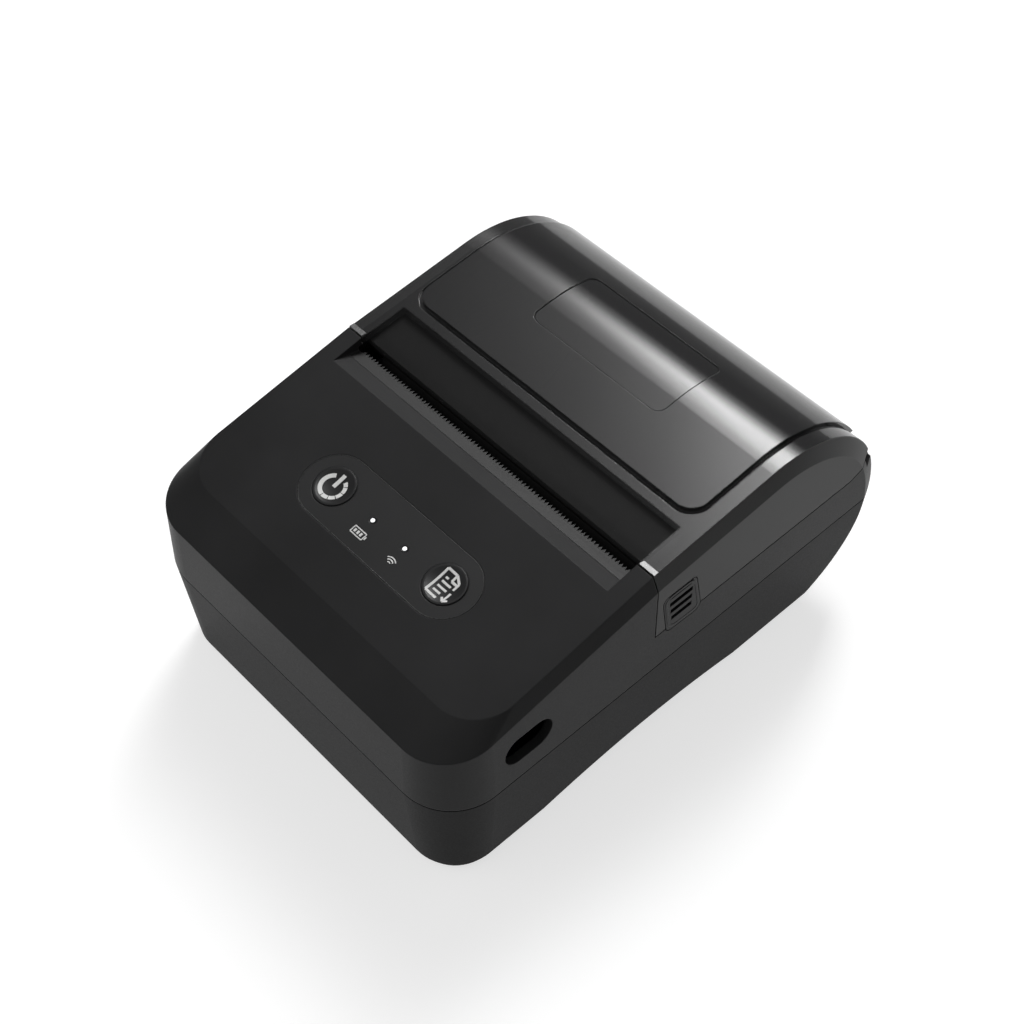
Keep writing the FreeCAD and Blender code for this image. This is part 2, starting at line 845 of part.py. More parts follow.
def make_top_case():
    """Upper half: hood, tear slope, lid rails and hinge knuckles."""
    case = shell.common(case_zone())
    tear_block = slab([
        (tear_front_setback - wall, top_z(tear_front_setback - wall) - wall / 2),
        (tear_rear_setback, top_z(tear_rear_setback) - wall / 2),
        (tear_rear_setback, top_z(tear_rear_setback) - tear_drop - tear_floor),
        (tear_front_setback - wall, top_z(tear_front_setback) - tear_floor - wall),
    ], -tear_half_width - wall, tear_half_width + wall)
    additions = [tear_block.common(outer_body)]
    boss_tops = (board_z - screw_head_height - close_fit, bay_side_z - deck_thickness - 2 * close_fit)
    stem = wall + key_board_depth() - key_board_thickness
    for side in (-1, 1):
        for (x, setback), high in zip(case_screws_at, boss_tops):
            at = V(side * x, front(setback), parting_z)
            additions.append(Part.makeCylinder(case_boss_radius, high - parting_z, at))
            additions.append(block(min(side * x, side * half_width), max(side * x, side * half_width),
                                   front(setback) - wall / 2, front(setback) + wall / 2,
                                   parting_z, high))
        for setback in board_boss_setbacks:
            at = V(side * board_boss_x, front(setback), board_top_z)
            additions.append(Part.makeCylinder(board_boss_radius, far, at))
        boss = Part.makeCylinder(key_boss_radius, stem, V(side * key_boss_x, 0, -stem))
        additions.append(placed(boss, top_frame))
    case = case.fuse([piece.common(outer_body) for piece in additions])
    knuckles = [drum(barrel_radius, lid_barrel_half + barrel_gap, case_barrel_end, hinge_axis)]
    knuckles.append(mirrored(knuckles[0]))
    case = case.fuse(knuckles)
    slot = slab([
        (tear_front_setback, top_z(tear_front_setback)),
        (tear_rear_setback, top_z(tear_rear_setback) - tear_drop),
        (seam_setback, top_z(tear_rear_setback) - tear_drop),
        (seam_setback, far), (tear_front_setback, far),
    ], -tear_half_width, tear_half_width)
    exit_gap = slab([(tear_rear_setback, parting_z), (seam_setback, parting_z), (seam_setback, far),
                     (tear_rear_setback, far)], -tear_half_width, tear_half_width)
    bar_seat = block(-tear_bar_half(), tear_bar_half(), tear_bar_start(),
                     tear_bar_start() + 2 * tear_bar_land, -tear_bar_thickness, wall)
    panel = stadium(control_half_spacing, control_radius + close_fit / 2, far, -control_thickness)
    cuts = [slot, exit_gap, placed(bar_seat, tear_frame), placed(panel, top_frame)]
    for x in (-control_half_spacing, control_half_spacing):
        hole = Part.makeCylinder(button_radius + button_clearance, wall * 2, V(x, 0, -wall * 1.5))
        cuts.append(placed(hole, top_frame))
    for x in (-led_half_spacing, led_half_spacing):
        hole = Part.makeCylinder(led_radius + running_fit, wall * 2, V(x, 0, -wall * 1.5))
        cuts.append(placed(hole, top_frame))
    usb_slot = stadium((usb_slot_length - usb_slot_height) / 2, usb_slot_height / 2, wall * 3,
                       -wall * 1.5)
    usb_slot.rotate(V(0, 0, 0), V(0, 0, 1), 90)
    usb_slot.rotate(V(0, 0, 0), V(0, 1, 0), 90)
    cuts.append(moved_to(usb_slot, half_width - wall / 2, front(usb_setback), usb_z))
    relief = block(-lid_barrel_half - barrel_gap, lid_barrel_half + barrel_gap, -2 * barrel_radius,
                   overrun, -lid_edge_above_axis - barrel_gap, far)
    rear_half = block(-far, far, front(depth - belly_radius), far, 0, far)
    cuts.append(placed(relief, hinge_frame).common(rear_half))
    cuts.append(drum(hinge_pin_radius + screw_hole_gap, -case_barrel_end + wall, case_barrel_end - wall,
                     hinge_axis))
    notch = release_hole(release_clearance)
    cuts += [notch, mirrored(notch)]
    for side in (-1, 1):
        for x, setback in case_screws_at:
            cuts.append(Part.makeCylinder(screw_hole_radius, case_screw_reach + close_fit,
                                          V(side * x, front(setback), parting_z)))
        for setback in board_boss_setbacks:
            cuts.append(Part.makeCylinder(screw_hole_radius, screw_reach,
                                          V(side * board_boss_x, front(setback), board_top_z)))
        bottom = -key_board_depth() + key_board_thickness - wall
        at = V(side * key_boss_x, 0, bottom)
        hole = Part.makeCylinder(screw_hole_radius, key_screw_reach(), at)
        cuts.append(placed(hole, top_frame))
    return case.cut(cuts).removeSplitter()


def tear_bar_half():
    return tooth_pitch * tooth_count / 2 + tooth_pitch / 2


def tear_bar_start():
    """Where the blade's land starts, along the tear slope."""
    return math.hypot(tear_run, tear_fall) - tear_bar_land


def make_tear_bar():
    """A serrated blade let into the end of the tear slope."""
    start = tear_bar_start()
    root = start + tear_bar_land
    half = tear_bar_half()
    outline = [V(-half, start, 0), V(-half, root, 0)]
    for tooth in range(tooth_count):
        x = (tooth - tooth_count / 2) * tooth_pitch
        outline += [V(x, root, 0), V(x + tooth_pitch / 2, root + tooth_length, 0)]
    outline += [V(tooth_count / 2 * tooth_pitch, root, 0), V(half, root, 0), V(half, start, 0)]
    blade = Part.Face(Part.makePolygon(outline + outline[:1])).extrude(V(0, 0, tear_bar_thickness))
    blade.translate(V(0, 0, -tear_bar_thickness))
    return placed(blade, tear_frame)


def button_foot():
    """How far a button reaches below the top face."""
    return wall + button_clearance + button_flange_thickness + button_stem_length


def key_board_depth():
    """Underside of the key board, below the inside of the top face."""
    stack = switch_body_height + switch_cap_height + switch_gap + button_travel + key_board_thickness
    return button_foot() - wall + stack


def key_screw_reach():
    return key_board_depth() - key_board_thickness


def make_control_panel():
    """A flush overlay with round ends, holes for two buttons and two lights."""
    plate = stadium(control_half_spacing, control_radius, control_thickness, -control_thickness)
    holes = [Part.makeCylinder(button_radius + button_clearance, wall * 2, V(x, 0, -wall))
             for x in (-control_half_spacing, control_half_spacing)]
    holes += [Part.makeCylinder(led_radius + running_fit, wall * 2, V(x, 0, -wall))
              for x in (-led_half_spacing, led_half_spacing)]
    return placed(plate.cut(holes), top_frame)


def make_button(x):
    """A dished cap with a flange under the case and a stem over its switch."""
    underside = -wall - button_clearance
    cap = Part.makeCylinder(button_radius, button_proud - underside, V(x, 0, underside))
    flange = Part.makeCylinder(button_radius + button_flange, button_flange_thickness,
                               V(x, 0, underside - button_flange_thickness))
    stem = Part.makeCylinder(button_stem_radius, button_stem_length, V(x, 0, -button_foot()))
    rim = button_radius - button_rim
    ball = (rim ** 2 + button_dish ** 2) / (2 * button_dish)
    dish = Part.makeSphere(ball, V(x, 0, button_proud - button_dish + ball))
    return placed(cap.fuse([flange, stem]).cut(dish).removeSplitter(), top_frame)


def make_led_light_pipes():
    """Two clear pins that carry the lights up to the face of the panel."""
    bottom = -wall - key_board_depth() + key_board_thickness + led_height + close_fit
    pins = [Part.makeCylinder(led_radius, -bottom, V(x, 0, bottom))
            for x in (-led_half_spacing, led_half_spacing)]
    return placed(group(pins), top_frame)


def make_key_board():
    low = -wall - key_board_depth()
    board = block(-key_board_half_length, key_board_half_length,
                  -key_board_half_width, key_board_half_width, low, low + key_board_thickness)
    holes = [Part.makeCylinder(screw_hole_radius, wall * 2, V(side * key_boss_x, 0, low - wall / 2))
             for side in (-1, 1)]
    return placed(board.cut(holes), top_frame)


def make_key_switches():
    """Two tactile switches under the button stems."""
    low = -wall - key_board_depth() + key_board_thickness
    switches = []
    for x in (-control_half_spacing, control_half_spacing):
        body = block(x - switch_size / 2, x + switch_size / 2, -switch_size / 2, switch_size / 2,
                     low, low + switch_body_height)
        cap = Part.makeCylinder(switch_cap_radius, switch_cap_height, V(x, 0, low + switch_body_height))
        switches.append(body.fuse(cap))
    return placed(group(switches), top_frame)


def make_key_leds():
    low = -wall - key_board_depth() + key_board_thickness
    leds = [block(x - led_size / 2, x + led_size / 2, -led_size / 2, led_size / 2, low, low + led_height)
            for x in (-led_half_spacing, led_half_spacing)]
    return placed(group(leds), top_frame)


def make_key_board_screws():
    low = -wall - key_board_depth()
    reach = key_board_thickness + key_screw_reach() - close_fit
    screws = [moved_to(screw(reach), side * key_boss_x, 0, low) for side in (-1, 1)]
    return placed(group(screws), top_frame)


def key_cable_setback():
    return control_setback + key_board_half_width / 2


def make_key_cable():
    """A flat cable from the key board straight down to its connector."""
    setback = key_cable_setback()
    reach = (setback - control_setback) / math.cos(rad(top_slope))
    under = top_frame.multVec(V(0, reach, -wall - key_board_depth()))
    bottom = board_top_z + connector_height
    at = under.y + depth / 2
    rear = at + film_thickness
    rear_top = under.z + film_thickness * math.tan(rad(top_slope))
    outline = [(at, bottom), (rear, bottom), (rear, rear_top), (at, under.z)]
    return slab(outline, -key_cable_half, key_cable_half)


def make_main_board():
    board = block(board_left, board_right, front(board_front_setback), front(board_rear_setback),
                  board_z, board_top_z)
    holes = [Part.makeCylinder(screw_hole_radius, wall * 2,
                               V(side * board_boss_x, front(setback), board_z - cut_over))
             for side in (-1, 1) for setback in board_boss_setbacks]
    return board.cut(holes)


def make_board_screws():
    reach = board_thickness + screw_reach - close_fit
    return group([moved_to(screw(reach), side * board_boss_x, front(setback), board_z)
                  for side in (-1, 1) for setback in board_boss_setbacks])


def make_usb_socket():
    """A charging socket: flattened round shell with a tongue, facing the slot in the side."""
    mouth = half_width - wall - usb_recess
    radius = usb_height / 2
    half = usb_width / 2 - radius
    body = stadium(half, radius, usb_depth, -usb_depth)
    bore = stadium(half, radius - usb_shell, usb_depth, usb_back - usb_depth)
    tongue = block(-half, half, -usb_tongue / 2, usb_tongue / 2, usb_back / 2 - usb_depth,
                   -usb_tongue_setback)
    socket = body.cut(bore).fuse(tongue)
    socket.rotate(V(0, 0, 0), V(0, 0, 1), 90)
    socket.rotate(V(0, 0, 0), V(0, 1, 0), 90)
    return moved_to(socket, mouth, front(usb_setback), usb_z)


def make_radio_module():
    """The wireless module: a small board under a pressed metal can."""
    left = radio_from_boss - board_boss_x
    rear_setback = radio_setback + radio_length
    can_left = left + radio_can_inset
    can_z = board_top_z + radio_board
    base = block(left, left + radio_width, front(radio_setback), front(rear_setback), board_top_z, can_z)
    can = block(can_left, can_left + radio_can_width, front(radio_setback + radio_can_inset),
                front(rear_setback - radio_can_inset), can_z, can_z + radio_can_height)
    return base.fuse(can).removeSplitter()


def make_board_chips():
    """Flat packages, each given by its x, setback, width, length and height."""
    layout = chips + ((board_boss_x - power_chip_from_boss, power_chip_setback) + power_chip,)
    return group([block(x - across / 2, x + across / 2, front(setback - along / 2),
                        front(setback + along / 2), board_top_z, board_top_z + height)
                  for x, setback, across, along, height in layout])


def make_board_capacitors():
    places = (board_left + capacitor_left_margin, board_right - capacitor_right_margin)
    return group([Part.makeCylinder(capacitor_radius, capacitor_height,
                                    V(x, front(capacitor_setback), board_top_z)) for x in places])


def board_connector_places():
    """Connectors for the head cable, key cable, motor lead and battery lead: x, setback, width."""
    return (
        (0.0, board_rear_setback - connector_half, head_connector),
        (0.0, key_cable_setback() + key_connector_offset, key_connector),
        (board_boss_x - motor_connector_from_boss, board_rear_setback - connector_edge, motor_connector),
        (battery_connector_from_boss - board_boss_x, board_rear_setback - connector_edge,
         battery_connector),
    )


def make_board_connectors():
    return group([block(x - across / 2, x + across / 2, front(setback - connector_half),
                        front(setback + connector_half), board_top_z, board_top_z + connector_height)
                  for x, setback, across in board_connector_places()])


def make_battery_pack():
    """Two round cells side by side in one shrink sleeve."""
    first = battery_front_setback + cell_radius
    z = battery_z + cell_radius
    second = first + 2 * cell_radius
    high = z + cell_radius
    cells = [drum(cell_radius, -battery_half_length, battery_half_length, (setback, z))
             for setback in (first, second)]
    middle = slab([(first, battery_z), (second, battery_z), (second, high), (first, high)],
                  -battery_half_length, battery_half_length)
    return cells[0].fuse([cells[1], middle]).removeSplitter()


def make_battery_lead():
    """A pair of wires in one sleeve, from the top of the pack up to its connector."""
    x, setback, _ = board_connector_places()[3]
    plug_y = front(setback + connector_half)
    plug_z = board_top_z + connector_height / 2
    start_y = front(battery_front_setback + 3 * cell_radius)
    top = battery_z + 2 * cell_radius
    turn_y = plug_y + battery_lead_turn
    route = [(x, start_y, top), (x, start_y, top + battery_lead_rise),
             (x, turn_y, top + battery_lead_climb), (x, turn_y, plug_z), (x, plug_y, plug_z)]
    return tube(route, battery_lead_radius)


def make_inner_chassis():
    """The paper bay and the shelf that carries the print mechanism, in one moulding."""
    belly = belly_centre()
    ring = drum(bay_outer, -side_outer, side_outer, belly)
    ring = ring.cut(drum(bay_inner, -side_outer, side_outer, belly))
    lower = slab([(0, 0), (depth, 0), (depth, bay_rear_z), (belly[0], bay_rear_z), (belly[0], belly[1]),
                  (0, belly[1])], -far, far)
    ring = ring.common(lower)
    front_wall = slab([(bay_front, belly[1]), (bay_front + bay_wall, belly[1]),
                       (bay_front + bay_wall, bay_front_z), (bay_front, bay_front_z)],
                      -side_outer, side_outer)
    rear_drop = bay_side_z - bay_rear_z
    top_rear = hinge_axis[0] - barrel_radius - 2 * wall
    post_rear = bay_front + 2 * bay_wall
    cheek_line = [(bay_front, belly[1]), (bay_front, bay_front_z), (post_rear, bay_front_z),
                  (post_rear + bay_front_z - bay_side_z, bay_side_z), (top_rear - rear_drop, bay_side_z),
                  (top_rear, bay_rear_z), (top_rear, belly[1])]
    sides = []
    for x0, x1 in ((bay_half_width, side_outer), (-side_outer, -bay_half_width)):
        disc = drum(bay_outer, x0, x1, belly).common(lower)
        sides.append(disc.fuse(slab(cheek_line, x0, x1)))
    deck_low = bay_side_z - deck_thickness
    deck = [(bay_front + wall, deck_low), (top_rear - rear_drop, deck_low),
            (top_rear - rear_drop, bay_side_z), (bay_front + wall, bay_side_z)]
    decks = [slab(deck, side_outer - bay_side_wall / 2, deck_half_width),
             slab(deck, -deck_half_width, bay_side_wall / 2 - side_outer)]
    shelf_low_z = shelf_top_z - shelf_thickness
    shelf_rear = belly[0] - bay_inner + wall
    shelf = slab([(shelf_front_setback, shelf_low_z), (shelf_rear, shelf_low_z),
                  (shelf_rear, shelf_top_z), (shelf_front_setback, shelf_top_z)],
                 -side_outer, side_outer)
    shelf = shelf.cut(drum(bay_inner, -far, far, belly))
    body = ring.fuse([front_wall, shelf] + sides + decks)
    holes = [Part.makeCylinder(screw_hole_radius, 2 * shelf_thickness,
                               V(side * post_x, front(setback), shelf_top_z - 1.5 * shelf_thickness))
             for side in (-1, 1) for setback in post_setbacks]
    return body.cut(holes).removeSplitter()


def make_mechanism_screws():
    """Four screws that clamp the mechanism frame and the chassis shelf to the case posts."""
    top = shelf_top_z + frame_thickness
    reach = frame_thickness + shelf_thickness + screw_reach - close_fit
    screws = []
    for side in (-1, 1):
        for setback in post_setbacks:
            piece = screw(reach)
            piece.rotate(V(0, 0, 0), X_AXIS, 180)
            screws.append(moved_to(piece, side * post_x, front(setback), top))
    return group(screws)


def make_case_screws():
    reach = parting_z - case_screw_seat_z + case_screw_reach - close_fit
    return group([moved_to(screw(reach), side * x, front(setback), case_screw_seat_z)
                  for x, setback in case_screws_at for side in (-1, 1)])


def spring_bar_depth():
    """Distance from the head's contact line to the bar that the springs push on."""
    return paper_gap + head_ceramic + head_sink + spring_length


def motor_ears():
    """Centres of the motor's two fixing ears."""
    return [at_angle(pinion, motor_ear_reach, angle) for angle in motor_ear_angles]


def make_mech_frame():
    """A bent steel frame: base, two side plates with open bearing slots, and a spring bar."""
    base_z = shelf_top_z
    top = platen_z + bush_radius - frame_thickness
    front_top = head_contact[1] + head_above
    horn = bush_radius + frame_slot_wall
    side = [(frame_front_setback, base_z), (frame_rear_setback, base_z),
            (frame_rear_setback, frame_shoulder_z), (platen_setback + horn, frame_shoulder_z),
            (platen_setback + horn, top), (platen_setback - horn, top),
            (head_contact[0] - frame_head_room, front_top), (frame_front_setback, front_top)]
    plates = [slab(side, frame_inner, frame_half_width), slab(side, -frame_half_width, -frame_inner)]
    base_top = base_z + frame_thickness
    base = slab([(frame_front_setback, base_z), (frame_rear_setback, base_z),
                 (frame_rear_setback, base_top), (frame_front_setback, base_top)],
                -frame_half_width, frame_half_width)
    depth_in = spring_bar_depth()
    bar = block(-frame_half_width, frame_half_width, spring_above - spring_radius * 2,
                spring_above + spring_radius + spring_bar_margin, depth_in, depth_in + frame_thickness)
    body = base.fuse(plates + [placed(bar, head_frame)])
    slot_radius = bush_radius + frame_slot_clearance
    slot = block(-far, far, -slot_radius, slot_radius, 0, far)
    slot = placed(slot, frame_at(platen_setback, platen_z, lift_angle - 90))
    cuts = [slot, drum(slot_radius, -far, far, platen)]
    pivot = head_frame.multVec(V(0, -head_pivot_below, head_pivot_depth))
    pivot_at = (pivot.y + depth / 2, pivot.z)
    cuts.append(drum(head_pivot_radius + screw_hole_gap, -far, far, pivot_at))
    cuts.append(drum(idler_pin_radius + screw_hole_gap, 0, far, idler))
    cuts.append(drum(motor_shaft_radius * 2, 0, far, pinion))
    cuts += [drum(screw_hole_radius, 0, far, ear) for ear in motor_ears()]
    for side_sign in (-1, 1):
        for setback in post_setbacks:
            cuts.append(Part.makeCylinder(screw_hole_radius, 2 * wall,
                                          V(side_sign * post_x, front(setback), base_z - wall)))
    return body.cut(cuts).removeSplitter()


def make_motor_body():
    """A small stepper motor on the inside of the right-hand side plate."""
    back = frame_inner - motor_flange - motor_length
    can = drum(motor_radius, back, frame_inner - motor_flange, pinion)
    ears = motor_ears()
    flange = drum(motor_radius - motor_pilot_step, frame_inner - motor_flange, frame_inner, pinion)
    tabs = [drum(motor_ear_radius, frame_inner - motor_flange, frame_inner, ear) for ear in ears]
    for ear, angle in zip(ears, motor_ear_angles):
        arm = [at_angle(pinion, motor_ear_radius, angle + 90),
               at_angle(pinion, motor_ear_radius, angle - 90),
               at_angle(ear, motor_ear_radius, angle - 90),
               at_angle(ear, motor_ear_radius, angle + 90)]
        tabs.append(slab(arm, frame_inner - motor_flange, frame_inner))
    body = can.fuse([flange] + tabs)
    cuts = [drum(motor_shaft_radius + running_fit, back + motor_end_cap, far, pinion)]
    cuts += [drum(screw_hole_radius, 0, far, ear) for ear in ears]
    return body.cut(cuts).removeSplitter()


def make_motor_screws():
    screws = []
    for ear in motor_ears():
        piece = screw(frame_thickness + motor_flange + motor_screw_end)
        piece.rotate(V(0, 0, 0), V(0, 1, 0), -90)
        screws.append(moved_to(piece, frame_half_width, front(ear[0]), ear[1]))
    return group(screws)


def make_motor_lead():
    """The motor's wires, from its back over to the connector on the board."""
    x, setback, _ = board_connector_places()[2]
    start = (frame_inner - motor_flange - motor_length, front(pinion[0]), pinion[1] + motor_radius / 2)
    bends = [tuple(place + step for place, step in zip(start, bend)) for bend in motor_lead_bends]
    plug_y = front(setback + connector_half)
    plug_z = board_top_z + connector_height / 2
    return tube([start] + bends + [(x, plug_y + motor_lead_plug_run, plug_z), (x, plug_y, plug_z)],
                motor_lead_radius)


def make_idler_pin():
    return drum(idler_pin_radius, frame_inner, gear_outer + idler_pin_end, idler)


def make_idler_clip():
    """A snap ring that keeps the idler on its pin."""
    start = gear_outer + close_fit
    ring = drum(idler_pin_radius + idler_collar, start, start + idler_clip_thickness, idler)
    return ring.cut(drum(idler_pin_radius, 0, far, idler))


def make_idler_gear():
    turn = mesh_turn(idler_teeth, 0.0, platen_teeth, lift_angle + 180)
    wheel = gear(idler_teeth, gear_inner, gear_outer, idler, turn, idler_pin_radius + running_fit)
    hub = drum(idler_pin_radius + idler_collar, frame_half_width + gear_side_gap, gear_inner, idler)
    hub = hub.cut(drum(idler_pin_radius + running_fit, 0, far, idler))
    return wheel.fuse(hub).removeSplitter()


def make_motor_pinion():
    idler_turn = mesh_turn(idler_teeth, 0.0, platen_teeth, lift_angle + 180)
    turn = mesh_turn(pinion_teeth, idler_turn, idler_teeth, pinion_direction)
    return gear(pinion_teeth, gear_inner, gear_outer, pinion, turn, motor_shaft_radius)


def make_motor_shaft():
    start = frame_inner - motor_flange - motor_length / 2
    return drum(motor_shaft_radius, start, gear_outer + motor_shaft_end, pinion)


def make_platen_gear():
    return gear(platen_teeth, gear_inner, gear_outer, platen, 0.0, platen_shaft_radius)


def make_platen_shaft():
    return drum(platen_shaft_radius, -cheek_outer - close_fit, gear_outer + close_fit, platen)


def make_platen_rubber():
    bar = drum(platen_radius, -paper_half, paper_half, platen)
    return bar.cut(drum(platen_shaft_radius, -far, far, platen))


def make_platen_bushes():
    """Two plain bearings on the platen's shaft, which drop into the frame's slots."""
    inner = paper_half + bush_gap
    bush = drum(bush_radius, inner, frame_half_width + bush_gap, platen)
    bush = bush.cut(drum(platen_shaft_radius + running_fit, 0, far, platen))
    return group([bush, mirrored(bush)])


def make_head_heatsink():
    """The aluminium bar behind the print line, which turns a little about its pivot pin."""
    low = paper_gap + head_ceramic
    half = paper_half - head_end_gap
    bar = block(-half, half, -head_below, head_above, low, low + head_sink)
    bore = Part.makeCylinder(head_pivot_radius + running_fit, far,
                             V(-far / 2, -head_pivot_below, head_pivot_depth), X_AXIS)
    return placed(bar.cut(bore), head_frame)


def make_head_ceramic():
    """The ceramic strip with the row of heating dots, bonded to the bar."""
    half = paper_half + close_fit
    ceramic = block(-half, half, -head_above, head_above - head_end_gap,
                    paper_gap, paper_gap + head_ceramic)
    return placed(ceramic, head_frame)


def make_head_pivot_pin():
    half = frame_half_width + head_pin_proud
    start = V(-half, -head_pivot_below, head_pivot_depth)
    return placed(Part.makeCylinder(head_pivot_radius, 2 * half, start, X_AXIS), head_frame)


def make_head_springs():
    """Two coil springs that press the head onto the platen."""
    spring = coil(spring_radius, spring_wire, spring_turns, spring_length)
    low = paper_gap + head_ceramic + head_sink
    return group([placed(moved_to(spring, side * spring_x, spring_above, low), head_frame)
                  for side in (-1, 1)])


def make_head_cable():
    """The flat cable from the foot of the head down to the board."""
    behind = paper_gap + head_ceramic + head_sink + film_thickness
    start = head_frame.multVec(V(0, head_cable_grip - head_below, behind))
    x, setback, _ = board_connector_places()[0]
    end = (setback + connector_half, board_top_z + connector_height / 2)
    bend = (board_rear_setback + head_cable_bend, end[1] + film_thickness)
    path = [end, bend, (start.y + depth / 2, start.z)]
    return strip(path, film_thickness, x - head_cable_half, x + head_cable_half)


def make_paper_sensor():
    """A small optical sensor on the front of the paper bay, under the paper's path."""
    top = bay_front_z - sensor_drop
    return block(sensor_left, sensor_left + sensor_width,
                 front(bay_front - sensor_depth), front(bay_front), top - sensor_height, top)


def make_hinge_pin():
    return drum(hinge_pin_radius, -case_barrel_end + wall, case_barrel_end - wall, hinge_axis)


def plan_patch(half, front_setback, rear_setback, radius):
    """An upright column with round corners, to trim a patch out of the lid's skin."""
    corners = [V(-half, front(front_setback), 0), V(half, front(front_setback), 0),
               V(half, front(rear_setback), 0), V(-half, front(rear_setback), 0)]
    column = Part.Face(Part.makePolygon(corners + corners[:1])).extrude(V(0, 0, far))
    upright = [edge for edge in column.Edges if abs(edge.tangentAt(edge.FirstParameter).z) > 0.5]
    return column.makeFillet(radius, upright)


def skin(outward, inward, column):
    """A layer of the lid's curved skin, between two offsets, inside a column."""
    layers = []
    for offset in (outward, inward):
        face = Part.Face(side_outline(-offset, -far / 2))
        layers.append(face.extrude(V(far, 0, 0)))
    return layers[0].cut(layers[1]).common(column)


def make_lid_shell():
    """A smoke-clear lid with a raised window panel, a label recess and a hinge barrel."""
    lid = shell.common(lid_zone(seam_gap))
    above = block(-far, far, -far, far, panel_rear_z, far)
    panel_area = plan_patch(panel_half_width, panel_front_setback, depth + far, panel_corner)
    panel_area = panel_area.common(above)
    groove_area = plan_patch(panel_half_width + panel_groove, panel_front_setback - panel_groove,
                             depth + far, panel_corner + panel_groove).common(above).cut(panel_area)
    label_area = plan_patch(label_half_width, label_front_setback, label_rear_setback, label_corner)
    lid = lid.fuse(skin(panel_raise, -wall / 2, panel_area))
    lid = lid.cut(skin(wall, -panel_groove_depth, groove_area))
    lid = lid.cut(skin(wall, panel_raise - label_depth, label_area))
    barrel = drum(barrel_radius, -lid_barrel_half, lid_barrel_half, hinge_axis)
    arm = block(-lid_barrel_half, lid_barrel_half, barrel_radius - arm_depth, barrel_radius, 0,
                lid_edge_above_axis + wall)
    boss_low = -wall - carrier_tab_drop - close_fit
    screw_places = [V(side * carrier_tab_x, carrier_length + carrier_tab_behind, boss_low)
                    for side in (-1, 1)]
    boss_height = -boss_low - wall / 2
    tabs = [placed(Part.makeCylinder(carrier_boss_radius, boss_height, at), lid_frame)
            for at in screw_places]
    lid = lid.fuse([barrel, placed(arm, hinge_frame).common(outer_body)] + tabs)
    lip = block(-tear_half_width, tear_half_width, 0, lid_lip_length, -far, far)
    wedge = Part.makePolygon([V(0, 0, wall), V(0, 0, -lid_lip_drop), V(0, lid_lip_length, 0),
                              V(0, lid_lip_length, wall), V(0, 0, wall)])
    wedge = Part.Face(wedge).extrude(V(2 * tear_half_width, 0, 0))
    wedge.translate(V(-tear_half_width, 0, 0))
    edge = block(-tear_half_width, tear_half_width, -wall, lid_lip_setback, -wall * 2, wall)
    cuts = [placed(wedge.common(lip), lid_frame), placed(edge, lid_frame)]
    keep = drum(barrel_radius + barrel_gap, lid_barrel_half, half_width + wall, hinge_axis)
    cuts += [keep, mirrored(keep)]
    cuts.append(drum(hinge_pin_radius + close_fit, -lid_barrel_half - wall, lid_barrel_half + wall,
                     hinge_axis))
    hole = release_hole(release_clearance)
    cuts += [hole, mirrored(hole)]
    cuts += [placed(Part.makeCylinder(screw_hole_radius, boss_height, at), lid_frame)
             for at in screw_places]
    return lid.cut(cuts).removeSplitter()


def make_platen_carrier():
    """The black bar under the lid's front edge, which holds the platen's shaft at both ends."""
    under = -wall - close_fit
    start = lid_lip_setback + carrier_start
    end = carrier_length - carrier_lip
    plate = block(-cheek_outer, cheek_outer, start, carrier_length, under - carrier_plate, under)
    lip = block(-cheek_inner, cheek_inner, start, start + carrier_lip, under - carrier_lip_depth, under)
    rear = block(-cheek_inner, cheek_inner, end, carrier_length, under - carrier_rear_depth, under)
    tab_top = under - carrier_tab_drop
    pieces = [plate, lip, rear]
    for side in (-1, 1):
        x = side * carrier_tab_x
        pieces.append(block(x - carrier_tab_half, x + carrier_tab_half, end,
                            carrier_length + 2 * carrier_tab_behind, tab_top - carrier_plate, tab_top))
    body = placed(pieces[0].fuse(pieces[1:]), lid_frame)
    drop = (carrier_plate / 2 - under) / math.cos(rad(lid_slope))
    fore = platen_setback - carrier_cheek_radius
    aft = platen_setback + carrier_cheek_radius
    cheek = [(fore, platen_z), (aft, platen_z), (aft, lid_z(aft) - drop), (fore, lid_z(fore) - drop)]
    cheeks = []
    for x0, x1 in ((cheek_inner, cheek_outer), (-cheek_outer, -cheek_inner)):
        cheeks += [slab(cheek, x0, x1), drum(carrier_cheek_radius, x0, x1, platen)]
    body = body.fuse(cheeks)
    cuts = [drum(platen_shaft_radius + running_fit, -far, far, platen)]
    for side in (-1, 1):
        at = V(side * carrier_tab_x, carrier_length + carrier_tab_behind, tab_top - 2 * carrier_plate)
        hole = Part.makeCylinder(screw_hole_radius, 3 * carrier_plate, at)
        cuts.append(placed(hole, lid_frame))
    return body.cut(cuts).removeSplitter()


def make_carrier_screws():
    low = -wall - close_fit - carrier_tab_drop - carrier_plate
    reach = -low - wall / 2 - close_fit
    along = carrier_length + carrier_tab_behind
    screws = [moved_to(screw(reach), side * carrier_tab_x, along, low) for side in (-1, 1)]
    return placed(group(screws), lid_frame)


